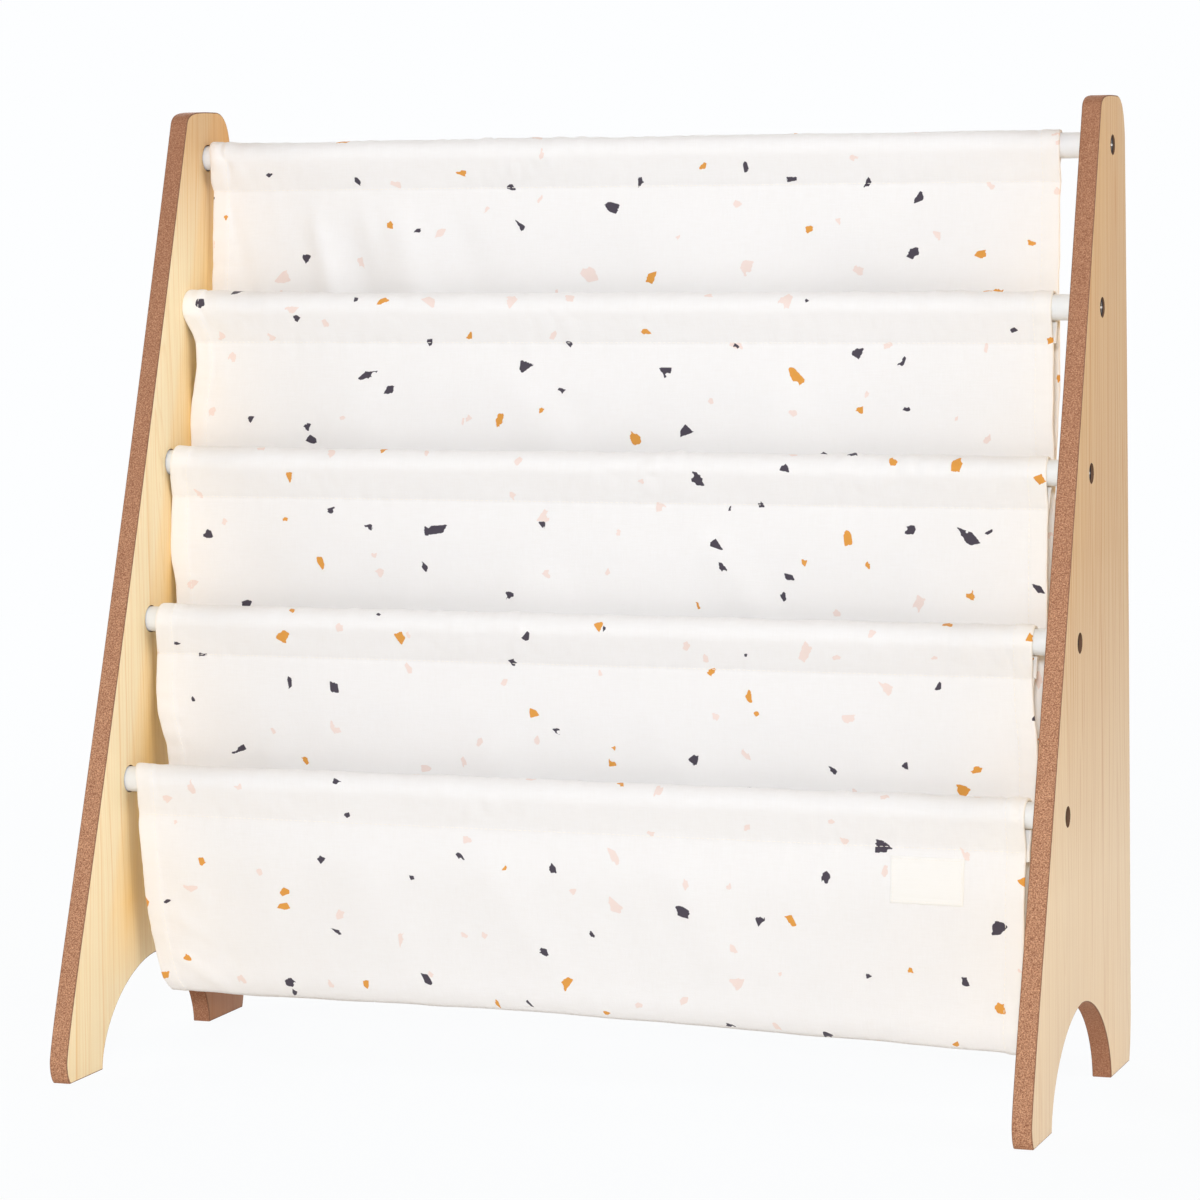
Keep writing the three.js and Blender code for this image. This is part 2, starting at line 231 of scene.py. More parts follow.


# Wood face: rings round a long narrow ellipse, sqrt(y'^2 + (lean z')^2), whose centre is out of sight,
# bent by slow noise and unevenly spaced, r + 0.3 sin 2.3 r, with thinner lines and the finest, even lines
# between them; on them streaks and pores drawn out along the grain. Painted shade deepens steadily up the
# outer face; on the inner face it lies past the rods' line and at the top, with a painted shadow on its rear
# foot
def boardFace(look, name):
    tone, scales = look[name], look["scales"]
    material, place = newFinish(f"board_{name}")
    y, z = place.axes()[1:]
    if name == "outer":
        # painted shade that deepens up the outer face, with a stronger figure under it
        first, second = (z.ramp(low, high) * share for low, high, share in look["paintedShadeUp"])
        dark = first + second
        place = place.vector("ADD", look["outerShift"])
        firm = dark * look["firm"][1] + look["firm"][0]
    else:
        # painted shade on the inner face behind the rods' line, where the cloth shades it, fading out low
        # down
        behind = y - z * look["rodLean"] - look["rodFoot"]
        first, second = (behind.ramp(low, high) * share for low, high, share in look["paintedShadeBehindRods"])
        dark = (first + second) * z.ramp(*look["shadeFadesLow"])
        firm = 1.0
    across, up = place.axes()[1:]
    slow = noise(place, scales["slow"], 1.0)
    sway = noise(place, scales["sway"])
    bent = across + (slow - 0.5) * 0.09 + (sway - 0.5) * 0.016
    high = (up - look["heart"]) * look["ringLean"]
    radius = (bent * bent + high * high).math("SQRT") / look["ringPitch"]
    rings = radius + (radius * 2.3).math("SINE") * 0.3 + slow * 1.2
    turn = rings.math("FRACT")
    line = turn ** 10.0 * (1 - turn ** 50.0)     # soft rise, sharp fall
    between = (rings * 2.6 + sway * 1.3).math("FRACT")
    thin = between ** 7.0 * (1 - between ** 30.0)
    patchy = noise(place, scales["patchy"], 3.0)
    lines = line * patchy.ramp(0.3056, 0.5833) * look["peaks"]
    thins = thin * patchy.ramp(0.6667, 0.3333) * (look["peaks"] * 0.5)
    even = ((across + (sway - 0.5) * 0.012) * (math.tau / look["pinPitch"]) + slow * 9).math("SINE")
    pins = even.ramp(0.125, 1.375) * noise(place, scales["broken"]).ramp(0.35, 0.6)
    streak = noise(place, scales["streaks"], 1.0).ramp(0.6778, 0.7889)
    pores = noise(place, scales["pores"], 3.0, 0.6)
    pore = pores.ramp(0.45, 0.7833)
    fine = tone["pins"] * firm
    colour = mixed(dark, tone["low"], tone["high"])
    for share in (lines * firm, thins * firm, pins * fine, streak * fine, pore * 0.14):
        colour = mixed(share, colour, tone["line"])
    if name == "inner":
        # painted shade towards the inner face's top, and a painted shadow on its rear foot under the lowest
        # pocket
        colour = mixed(z.ramp(*look["topShadeFrom"]), colour, look["top"], "MULTIPLY")
        down, rearward = look["footShadowFrom"]
        colour = mixed(z.ramp(*down) * y.ramp(*rearward), colour, look["foot"], "MULTIPLY")
    gloss = look["roughness"] + (pores - 0.5) * 0.12
    finishWith(colour, gloss, lines * 0.6 + pore, 0.00006, IOR=1.45)
    return material


edgeLook = {
    "ground": (219, 165, 127), "dark": (138, 86, 60), "fleck": (244, 200, 162), "arris": (112, 82, 62),
    "grain": 1250.0, "flecks": 860.0, "cloud": 90.0,
    "archTop": 0.165, "archRear": 0.118,       # what lies lower and further forward is inside the arch
    "grainFrom": (0.3657, 0.6514), "fleckSize": 0.24, "fleckFrom": (0.35, 0.6833), "cloudFrom": (0.3, 1.3),
    "upShadeFrom": (0.2083, 0.625), "archShadeFrom": (-0.0111, 0.0444),      # where its painted shade begins, up the edge and in depth inside the arch
    "roughness": 0.72,
}


# Raw edge of the board: brown pressed fibre with fine dark grains and pale flecks, dark in clouds and along
# its arrises; painted shade upwards, inside the arch towards its rear and on the screw bores' walls, which
# with the arrises carry the mesh's own "arris" value
def boardEdge(look):
    material, place = newFinish("board_edge")
    y, z = place.axes()[1:]
    grain = noise(place, look["grain"], 3.0, 0.7)
    flecks = place.node("TexVoronoi", {}, {"Vector": place, "Scale": look["flecks"]})
    arris = place.node("Attribute", {"attribute_name": "arris"}, {}, "Fac")
    colour = mixed(grain.ramp(*look["grainFrom"]), look["dark"], look["ground"])
    pale = (flecks < look["fleckSize"]) * grain.ramp(*look["fleckFrom"])
    colour = mixed(pale * 0.75, colour, look["fleck"])
    inArch = z.ramp(look["archTop"], look["archTop"] - 0.0167) * (y < look["archRear"])
    cloud = noise(place, look["cloud"]).ramp(*look["cloudFrom"])
    # painted shade up the edge and inside the arch towards its rear; dark clouds of fibre
    for share in (z.ramp(*look["upShadeFrom"]), inArch * y.ramp(*look["archShadeFrom"]), cloud * 0.5):
        colour = mixed(share * 0.5, colour, look["dark"])
    # the arrises' dark line, and painted shade on the screw bores' walls
    colour = mixed(arris * 0.6, colour, look["arris"])
    finishWith(colour, look["roughness"] + grain * 0.16, grain, 0.00018, IOR=1.4)
    return material


paintLook = {
    "white": (234, 236, 239), "faint": (226, 229, 233),
    "peel": 700.0, "marks": (420.0, 12.0, 12.0),
    "roughness": 0.3,
}


# White satin paint: a faint orange peel, and roller marks round the rod
def rodPaint(look):
    material, place = newFinish("rod_paint")
    marks = noise(place, look["marks"])
    height = noise(place, look["peel"]) + marks * 0.5
    colour = mixed(marks * 0.35, look["white"], look["faint"])
    finishWith(colour, look["roughness"] + (marks - 0.5) * 0.1, height, 0.00002, IOR=1.5)
    return material


metalLook = {
    "ground": (34, 26, 29), "rubbed": (84, 66, 62), "bright": (250, 240, 232),
    "spots": 420.0, "pits": 2600.0,
    "roughness": 0.6,
}


# Dark bronzed steel with rubbed spots, bright where a driver has bared the cross: the mesh's "bared" value
def screwMetal(look):
    material, place = newFinish("screw_metal")
    rubbed = noise(place, look["spots"], 3.0).ramp(0.5, 0.8125)
    bared = place.node("Attribute", {"attribute_name": "bared"}, {}, "Fac")
    colour = mixed(rubbed * 0.7, look["ground"], look["rubbed"])
    colour = mixed(bared, colour, look["bright"])
    gloss = look["roughness"] - bared * 0.25
    finishWith(colour, gloss, noise(place, look["pits"]), 0.00002, Metallic=bared, Specular_IOR_Level=0.06)
    return material


# the cut and the hang of the sling's cloth
cloth = {
    "thick": 0.0009, "hem": 0.012, "hemThick": 0.0019, "hemStep": 0.0012,
    "hemPast": 0.0018,         # how far past the hem its closer columns run
    "hemGroove": (0.0005, 0.0105, 0.0008),     # along its stitches: depth, place, half width
    "seamGroove": (0.00025, 0.0012),           # depth, half width
    "gatherFade": 0.007, "calm": (0.004, 0.05),     # how far from a seam its gathers end and waves begin
    "seamDrop": 0.0218,        # from a rod's axis down to its seam
    "aside": 0.00075,          # half the distance between two layers at a seam
    "ease": 0.0009,            # room between rod and cloth
    "tail": (0.0004, 0.006),   # cloth past the seam at the two free ends: aside and down
    "apart": 0.61,             # from one strip's seam to the next one's in the print
    "lowest": 0.0397, "dip": 0.0085, "dipShares": (0.4, 0.6, 0.3, 1.0), "dipStart": 0.35,
    "cornerLift": 0.0012, "cornerShare": 0.045,   # how much the left end of each pocket's foot is drawn up
    "foldDepth": 0.0024, "foldCounts": (2.5, 1.5, 2, 1.75), "foldStarts": (0.1, 0.45, 0.7, 0.25),
    "footShare": 0.6,          # how far along a pocket its foot lies
    "foldLean": 0.4, "footFade": 0.2,          # how far the broad folds lean, and how near the foot they end
    "creaseEnds": (0.03, 0.05),                # over what length a crease rises and dies out
    "creaseWiden": (0.7, 0.5, 0.06),           # its width's share at the seam, the gain, and over what length
    "frontStart": 0.62, "frontPast": 0.002,    # from where to where the front's own folds count
    "frontEnds": (0.15, 0.25),                 # how far they fade outside and inside their two ends
    # the way to the next rod, as shares of the step forward still to go and of the fall: down the back wall,
    # round the foot, and up behind the next pocket or, on the lowest one, in full view
    "back": [(0.96, 0.02), (0.92, 0.42), (0.87, 0.78)],
    "turn": [(0.8, 0.94), (0.58, 1), (0.38, 0.94)],
    "hidden": [(0.27, 0.8), (0.14, 0.53), (0.06, 0.3)],
    "shown": [(0.31, 0.82), (0.12, 0.58), (-0.07, 0.34)],
    "sideRows": 12, "arcRows": 26, "wallRows": 124, "crowd": 0.35, "firstTail": 4, "lastTail": 5,
    "hemColumns": 13, "middleColumns": 186,
    "width": 0.576,
    # how far a sleeve's left end stands off its rod, and over what share of its width
    "slack": (-0.0003, 0.0021, 0.0008, 0.0), "slackShare": 0.24, "slackFrom": (0.012, 0.03),
    "sleeveFrom": (0.001, 0.012),              # past a seam, where a sleeve's waves begin and are full
    "taut": 0.0002,                            # how far a sleeve is drawn in where it has no wave
    "busyFrom": (-0.2, 0.7), "leastBusy": 0.35,        # between which waves a sleeve turns from calm to busy
    "gatherDrawn": 0.2, "looseDrawn": 0.9,     # how much gathers and sleeves' waves are drawn out down them
    "puckerFade": (0.002, 0.006), "leastPucker": 0.4,  # to either side of the hem's edge; how much at a seam
    "sideFade": 0.03,                          # how far in the sides' own waves reach
}

clothLook = {
    "ground": (250, 247, 246),
    "slub": (243, 238, 234),
    # painted light: the paler tone of each pocket's back wall below its seam, against its shade
    "paintedLight": (255, 251, 247),
    "hem": (250, 246, 243),    # where the cloth lies double
    "chips": {"charcoal": (70, 62, 74), "mustard": (230, 158, 66), "blush": (247, 227, 219)},
    "large": {"cell": 0.0440, "small": 0.0024, "big": 0.0043, "shift": (0.013, 0.027, 0.0)},
    "little": {"cell": 0.0580, "small": 0.0018, "big": 0.0027, "shift": (0.531, 0.377, 0.0)},
    "scatter": 0.84,           # 0 puts the chips on a lattice, 1 anywhere
    "edges": 5, "wander": 420.0, "bend": 0.0016,       # straight edges, and how they wander
    "drawnOut": (0.8, 0.9),    # the least a chip is drawn out, and how much more it may be
    "bite": (0.95, 0.55, 0.75),        # the round bite's place and greatest size, in the chip's own radii
    "reach": (0.36, 0.86), "corner": 0.3,      # the nearest edge and the range; how round the corners are
    "soft": (0.00011, 0.0005),         # over what width an outline and a bite's corners fade
    "thread": 0.00046,         # one thread's width
    "slubs": (1300.0, 90.0, 1.0), "picks": (90.0, 1300.0, 1.0), "drift": 60.0, "slubFrom": (0.7727, 1.6818),
    "hemFade": 0.0015,         # over what width the hem's tone ends
    "seamAt": 0.1,             # a seam's place in its strip's stretch of the print
    "lightFrom": (0.035, 0.09), "lightTo": (0.2, 0.15),      # where the painted light lies down from the seam: where it rises from none to full, and where it falls back
}


# Chips, one to a Voronoi cell. In the chip's own turned and drawn-out frame a point is inside where it lies
# behind five straight edges, each turned its own random way and at its own random distance, and outside a
# round bite; a smooth maximum rounds the corners
def chipLayer(flat, look, layer):
    moved = flat.vector("ADD", layer["shift"])
    cells = {"Vector": moved, "Scale": 1 / layer["cell"], "Randomness": look["scatter"]}
    cell = flat.node("TexVoronoi", {"voronoi_dimensions": "2D"}, cells, "Color")
    first = flat.node("SeparateColor", {}, {0: cell})
    second, third = first.also(1), first.also(2)
    local = moved.vector("SUBTRACT", cell.also("Position"))
    spin = {"Vector": local, "Angle": first * math.tau}
    x, y = flat.node("VectorRotate", {"rotation_type": "Z_AXIS"}, spin).axes()[:2]
    radius = layer["small"] + (layer["big"] - layer["small"]) * second * second
    bend = (noise(flat, look["wander"], 1.0) - 0.5) * look["bend"]
    least, more = look["drawnOut"]
    x = x / (least + more * (third * 7.31).math("FRACT")) + bend
    y = y - bend
    right, up, big = look["bite"]
    biteX, biteY = x - radius * right, y - radius * up
    bite = radius * big * (second * 5.77).math("FRACT") - (biteX * biteX + biteY * biteY).math("SQRT")
    nearest, further = look["reach"]
    shape = None
    for n in range(look["edges"]):
        angle = math.tau * n / look["edges"] + 1.1 * (second * (9.3 + 4.7 * n)).math("FRACT")
        chance = ((first if n % 2 else third) * (11.7 + 6.37 * n)).math("FRACT")
        reach = radius * (nearest + further * chance)
        edge = x * angle.math("COSINE") + y * angle.math("SINE") - reach
        shape = edge if shape is None else shape.math("SMOOTH_MAX", edge, radius * look["corner"])
    soft, rounding = look["soft"]
    inside = shape.math("SMOOTH_MAX", bite, rounding).ramp(soft, -soft)
    tones = look["chips"]
    colour = mixed(third < 0.62, tones["blush"], tones["mustard"])
    return inside, mixed(third < 0.37, colour, tones["charcoal"])


# Printed canvas. Threads run along the cloth's own flat coordinates: the height is |sin| of one times |sin|
# of the other, so that each crossing of the plain weave stands up as a small pillow
def slingCloth(look):
    material, flat = newFinish("sling_cloth", "flat")
    x, y = flat.axes()[:2]
    drift = noise(flat, look["drift"], 1.0) * 0.6
    warp, weft = ((way * (math.pi / look["thread"]) + drift).math("SINE").math("ABSOLUTE") for way in (x, y))
    weave = (warp * weft).math("SQRT")
    uneven = (noise(flat, look["slubs"]) + noise(flat, look["picks"])).ramp(*look["slubFrom"])
    colour = mixed(uneven * 0.55, look["ground"], look["slub"])
    colour = mixed((1 - weave) * 0.10, colour, look["slub"])
    # painted light: a band down each pocket's back wall is painted paler, to offset its shade
    down = (y + look["seamAt"]).math("MODULO", cloth["apart"]) - look["seamAt"]
    paintedLight = down.ramp(*look["lightFrom"]) * down.ramp(*look["lightTo"])
    colour = mixed(paintedLight * 0.85, colour, look["paintedLight"])
    # the flat coordinate runs on round the cloth, so its place across is what is left past whole widths
    over = x.math("MODULO", cloth["width"] + cloth["hemThick"])
    inset = over.math("MINIMUM", cloth["width"] - over)
    colour = mixed(inset.ramp(cloth["hem"], cloth["hem"] - look["hemFade"]) * 0.6, colour, look["hem"])
    for layer in ("large", "little"):
        inside, ink = chipLayer(flat, look, look[layer])
        colour = mixed(inside, colour, ink)
    rough, height = 0.82 + (1 - weave) * 0.1, weave + uneven * 0.6
    finishWith(colour, rough, height, 0.00007, Sheen_Weight=0.12, Sheen_Roughness=0.5)
    return material


threadLook = {"dark": (246, 238, 228), "light": (255, 250, 242), "twist": 3000.0}


# Sewing thread, twisted along its own length
def threadFinish(look):
    material, place = newFinish("thread")
    twist = noise(place, look["twist"], 1.0)
    finishWith(mixed(twist, look["dark"], look["light"]), 0.6 + twist * 0.2, twist, 0.00005)
    return material


patchLook = {
    "light": (253, 250, 246), "dark": (248, 243, 236),
    "rib": 0.00035, "end": 0.0006,             # one rib's width and one end's
    "uneven": (60.0, 1500.0, 1.0),
}


# Satin ribbon of the sewn patch: fine ribs across, set close
def patchCloth(look):
    material, flat = newFinish("patch_cloth", "flat")
    x, y = flat.axes()[:2]
    ribs = (y * (math.pi / look["rib"])).math("SINE").math("ABSOLUTE")
    ends = (x * (math.pi / look["end"])).math("SINE").math("ABSOLUTE")
    uneven = noise(flat, look["uneven"])
    colour = mixed(uneven * 0.6, look["light"], look["dark"])
    finishWith(colour, 0.62 + uneven * 0.12, ribs + ends * 0.4, 0.00005, Sheen_Weight=0.1)
    return material


finishes = {
    "inner": boardFace(boardLook, "inner"), "outer": boardFace(boardLook, "outer"),
    "edge": boardEdge(edgeLook), "paint": rodPaint(paintLook), "metal": screwMetal(metalLook),
    "cloth": slingCloth(clothLook), "thread": threadFinish(threadLook), "patch": patchCloth(patchLook),
}
print("finishes made:", len(finishes))


# corner numbers of a grid's four-sided faces, row by row; a closed grid joins its last column to its first
def gridFaces(rows, columns, closed=False):
    row = np.arange(rows - 1)[:, None] * columns
    here = np.arange(columns if closed else columns - 1)[None, :]
    following = (here + 1) % columns
    corners = [row + here, row + columns + here, row + columns + following, row + following]
    return np.stack(corners, -1).reshape(-1, 4)


# Six times the volume that faces close in is the sum of a . (b x c) over their triangles; where it is
# negative the faces look inwards
def outward(points, faces):
    a, b, c, d = (points[faces[:, n]] for n in range(4))
    return (a * np.cross(b, c)).sum() + (a * np.cross(c, d)).sum() >= 0


# the faces of a tube of rings with a flat cap at each end, turned so that they look outwards
def tubeFaces(points, rows, sides):
    faces = gridFaces(rows, sides, True)
    first, last = list(range(sides)), list(range((rows - 1) * sides, rows * sides))
    if outward(points, faces):
        return faces.tolist() + [first, last[::-1]]
    return faces[:, ::-1].tolist() + [first[::-1], last]


def newMesh(name, points, faces):
    mesh = bpy.data.meshes.new(name)
    mesh.from_pydata(np.asarray(points, dtype=np.float64), [], [[int(n) for n in face] for face in faces])
    return mesh


# a finished piece: its materials, smooth shading, and edges that stay sharp past so many degrees
def addPiece(name, mesh, materials, sharp=None):
    for key in materials:
        mesh.materials.append(finishes[key])
    mesh.shade_smooth()
    if sharp is not None:
        mesh.set_sharp_from_angle(angle=math.radians(sharp))
    piece = addObject(name, mesh)
    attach(piece, "root")
    return piece


# a value for each point of a mesh, for its material to read
def setValues(mesh, name, values):
    mesh.attributes.new(name, "FLOAT", "POINT").data.foreach_set("value", values.astype(np.float32))


# the cloth's flat coordinate for each corner of a mesh's faces
def setFlat(mesh, places):
    mesh.uv_layers.new(name="flat").data.foreach_set("uv", places.astype(np.float32).ravel())


# side panels

panel = {
    "arch": (0.4846, 0.1567, 0.0605, 1.78),       # place as a share of the depth, width, height, power
    "start": (0.0172, 0.0),
    # bends as shares of depth and height: control point, end, and steps; or a plain corner
    "bends": [(0, 0.0073, 0, 0.0216, 12), (0, 0.0344, 0.0782, 0.1329, 40),
              (0.4261, 0.5598, 0.7275, 0.9867, 60), (0.734, 0.9953, 0.7672, 0.9978, 14),
              (0.7962, 1, 0.8626, 1, 12), (0.8969, 1), (0.9725, 1, 0.9821, 0.9568, 24),
              (1, 0.6645, 1, 0.2492, 40), (1, 0.0515), (0.9962, 0.0199, 0.9805, 0, 16)],
    "archSteps": 90,
    "arris": 0.0007, "arrisSteps": 4,
    "socket": (0.0087, 0.003),                    # radius, depth
    "bore": 0.0063, "hole": 0.0023,
    "boreDepths": (0.00342, 0.00342, 0.00414, 0.00474, 0.0051),
    "holeShade": (1.0, 0.4, 0.4, 0.4, 1.6, 1.6),   # the arris value along a screw hole: painted shade inside it, deepest on the bore's wall
    "round": 56,
    "sharp": 32,                                  # degrees
}


# The outline: quadratic bends (1-t)^2 a + 2t(1-t) b + t^2 c, then the arch as a superellipse, with cosine
# and sine raised to 2 / power
def panelOutline(p):
    corner = np.array(panelLow[1:])
    size = np.array(panelHigh[1:]) - corner
    stretches, last = [np.array([p["start"]])], np.array(p["start"])
    for bend in p["bends"]:
        if len(bend) == 2:
            stretches.append(np.array([bend]))
        else:
            t = np.linspace(0, 1, bend[4] + 1)[1:, None]
            middle, end = np.array(bend[:2]), np.array(bend[2:4])
            stretches.append((1 - t) ** 2 * last + 2 * t * (1 - t) * middle + t ** 2 * end)
        last = stretches[-1][-1]
    share, width, rise, power = p["arch"]
    turn = np.linspace(0, math.pi, p["archSteps"] + 1)
    across = np.sign(np.cos(turn)) * np.abs(np.cos(turn)) ** (2 / power)
    up = np.abs(np.sin(turn)) ** (2 / power)
    up[[0, -1]] = 0
    arch = corner + np.stack([share * size[0] + across * width / 2, up * rise], -1)
    return np.concatenate([np.concatenate(stretches) * size + corner, arch])


# how far and which way each point of a closed outline moves inwards for an inset of 1, so that its edges
# move evenly: the mean of the neighbours' normals over the cosine of half the bend
def insetWays(outline):
    edge = np.roll(outline, -1, 0) - outline
    normal = unit(np.stack([-edge[:, 1], edge[:, 0]], -1))
    both = unit(normal + np.roll(normal, 1, 0))
    area = (outline[:, 0] * np.roll(outline[:, 1], -1) - np.roll(outline[:, 0], -1) * outline[:, 1]).sum()
    return both / np.maximum((both * normal).sum(1, keepdims=True), 0.6) * np.sign(area)


# The panel's walls: rings from the inner face to the outer one, whose arrises are quarter circles, and the
# steps of each screw hole. Also the rims to fill at either face, and each point's arris value: how dark its
# arris is, and the painted shade inside the screw holes
def panelWalls(p):
    outline = panelOutline(p)
    quarter = np.linspace(0, math.pi / 2, p["arrisSteps"] + 1)
    inset, along = p["arris"] * (1 - np.sin(quarter)), p["arris"] * (1 - np.cos(quarter))
    insets = np.concatenate([inset, inset[::-1]])
    alongs = np.concatenate([along, boardThick - along[::-1]])
    rings = outline + insetWays(outline) * insets[:, None, None]
    count, wide = rings.shape[:2]
    points = [np.column_stack([np.repeat(alongs, wide), rings.reshape(-1, 2)])]
    faces = [gridFaces(count, wide, True)]
    rims = [(0, wide, 0), ((count - 1) * wide, wide, 1)]
    dark = [np.repeat(np.where(insets > 0, 1.0, 0.0), wide)]
    start = count * wide
    ring, size = circle(turns(p["round"])), p["round"]
    socketRadius, socketDepth = p["socket"]
    for axis, bore in zip(rodAxes, p["boreDepths"]):
        steps = [(0, socketRadius), (socketDepth, socketRadius), (socketDepth, p["hole"]),
                 (boardThick - bore, p["hole"]), (boardThick - bore, p["bore"]), (boardThick, p["bore"])]
        for at, radius in steps:
            points.append(np.column_stack([np.full(size, at), axis + ring * radius]))
        faces.append(gridFaces(len(steps), size, True) + start)
        rims += [(start, size, 0), (start + (len(steps) - 1) * size, size, 1)]
        # painted shade inside the screw hole
        dark.append(np.repeat(p["holeShade"], size))
        start += len(steps) * size
    return np.concatenate(points), np.concatenate(faces), rims, np.concatenate(dark)


# a board: its walls, and both faces filled between the outline and the round holes
def addPanel(side, p):
    points, faces, rims, dark = panelWalls(p)
    points[:, 0] = (innerFace + points[:, 0]) * side
    mesh = bmesh.new()
    corners = [mesh.verts.new(point) for point in points.tolist()]
    for face in faces.tolist():
        mesh.faces.new([corners[n] for n in face]).material_index = 2
    for which in (0, 1):
        edges = []
        for first, size, at in rims:
            if at == which:
                ring = corners[first:first + size]
                edges += [mesh.edges.get((ring[n - 1], ring[n])) for n in range(size)]
        filled = bmesh.ops.triangle_fill(mesh, use_beauty=True, use_dissolve=False, edges=edges)
        for item in filled["geom"]:
            if isinstance(item, bmesh.types.BMFace):
                item.material_index = which
    bmesh.ops.recalc_face_normals(mesh, faces=mesh.faces)
    name = "right" if side > 0 else "left"
    shape = bpy.data.meshes.new(f"board_{name}")
    mesh.to_mesh(shape)
    mesh.free()
    setValues(shape, "arris", dark)
    piece = addPiece(f"board_{name}", shape, ["inner", "outer", "edge"], p["sharp"])
    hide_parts(f"side_panel_{name}")


for side in (-1, 1):
    addPanel(side, panel)
print("side panels made")

# rods and screws, each turned round its own axis

rod = {"chamfer": 0.0008, "bendSteps": 4, "sides": 72, "pilot": 0.0023, "pilotEnd": 0.270,
       "rings": 9, "ringsEnd": 0.02}               # how many rings lie between the ends, and how far in
screw = {
    "shank": 0.002, "length": 0.032, "start": 0.0006, "point": 0.004, "tip": 0.0002,
    "thread": 0.00018, "pitch": 0.0016, "bare": 0.003,      # how far down the thread begins
    "head": 0.0059, "rim": 0.0022, "height": 0.0026, "bend": 0.0003, "sides": 72,
    "cross": (0.0032, 0.00072, 0.0015),           # arm, half width, depth
    "wall": 0.00022, "end": 0.0005,               # over how much the cross's walls and ends rise
    "narrow": 0.35, "shallow": 0.45,              # how much its arms lose in width and depth to their ends
    "dome": 2.2, "bright": 0.85,                  # the dome's power, and how bright the bared cross is
    "blunt": (0.06, 0.8),                         # the point's least radius, as a share, and its power
    "middle": 0.00006,
    "gap": 0.0003,
    "headRows": 30, "bendSteps": 4, "shankRows": 132,
}


# rows of one number each, or of one for each side, widened and set one after another
def stacked(sides, *blocks):
    return np.concatenate([np.broadcast_to(block, (len(block), sides)) for block in blocks])


# a turned body: point (x, r cos a, r sin a) for each row and angle
def addTurned(name, along, radius, axis, material, sharp):
    rows, sides = along.shape
    points = np.concatenate([along[..., None], axis + radius[..., None] * circle(turns(sides))], -1)
    points = points.reshape(-1, 3)
    return addPiece(name, newMesh(name, points, tubeFaces(points, rows, sides)), [material], sharp)


# half of the profile from the pilot hole's foot to the chamfered rim, then the plain stretch, then the rest
def addRod(n, r):
    bend = np.linspace(0, math.pi / 2, r["bendSteps"] + 1)
    rim = [rodEnd - r["chamfer"] * (1 - np.cos(bend)), rodRadius - r["chamfer"] * (1 - np.sin(bend))]
    hole = [[r["pilotEnd"], r["pilot"]], [rodEnd, r["pilot"]]]
    half = np.concatenate([hole, np.transpose(rim)])
    inner = rodEnd - r["ringsEnd"]
    plain = np.column_stack([np.linspace(inner, -inner, r["rings"]), np.full(r["rings"], rodRadius)])
    profile = np.concatenate([half, plain, half[::-1] * [-1, 1]])
    along, radius = (stacked(r["sides"], column[:, None]) for column in profile.T)
    piece = addTurned(f"bar_{n}", along, radius, rodAxes[n - 1], "paint", 40)
    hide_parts(f"rod_{n}")


# The head is a shallow dome, h (1 - (r/R)^power), less a cross whose arms fade at their ends and slope up
# from the middle; the shank's radius rises and falls along a helix
def addScrew(side, n, s):
    angle = turns(s["sides"])
    top = np.linspace(s["middle"], s["head"] - s["bend"], s["headRows"])[:, None]
    arm, half, deep = s["cross"]

    def slot(u, v):
        out = np.abs(u) / arm
        wall = np.clip((half * (1 - s["narrow"] * out) - np.abs(v)) / s["wall"] + 0.5, 0, 1)
        return wall * np.clip((1 - out) * arm / s["end"], 0, 1) * (1 - s["shallow"] * out)

    x, y = np.moveaxis(top[..., None] * circle(angle), -1, 0)
    sunk = np.maximum(slot(x, y), slot(y, x))
    bared = np.clip(sunk * 3, 0, 1) * np.clip(1.8 - top / arm, 0, 1) * s["bright"]
    head = s["rim"] + (s["height"] - s["rim"]) * (1 - (top / s["head"]) ** s["dome"]) - deep * sunk
    bend = np.linspace(0, math.pi / 2, s["bendSteps"] + 1)[:, None]
    edge = head[-1].mean() - s["bend"] * (1 - np.cos(bend))
    edgeRadius = s["head"] - s["bend"] * (1 - np.sin(bend))
    down = np.linspace(s["start"], s["length"] - s["tip"], s["shankRows"])[:, None]
    least, power = s["blunt"]
    taper = np.clip((s["length"] - down) / s["point"], least, 1) ** power
    wave = 1 - 2 * np.abs(np.mod(angle / math.tau - down / s["pitch"], 1) - 0.5)
    cut = np.clip(down / s["bare"] - 1, 0, 1)
    shank = (s["shank"] + 2 * s["thread"] * (wave - 0.5) * cut) * taper
    seat = outerFace - panel["boreDepths"][n - 1] + s["gap"]
    along = side * (seat + stacked(s["sides"], head, edge, [[0], [0]], -down))
    radius = stacked(s["sides"], top, edgeRadius, [[s["head"]], [s["shank"]]], shank)
    name = "right" if side > 0 else "left"
    piece = addTurned(f"bolt_{name}_{n}", along, radius, rodAxes[n - 1], "metal", 35)
    values = np.zeros(along.size)
    values[:bared.size] = bared.ravel()
    setValues(piece.data, "bared", values)
    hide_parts(f"screw_{name}_{n}")


for n in range(1, rodCount + 1):
    addRod(n, rod)
    addScrew(-1, n, screw)
    addScrew(1, n, screw)
print("rods and screws made")

# the sling: four strips of one long cloth, told apart where it is sewn under the rods

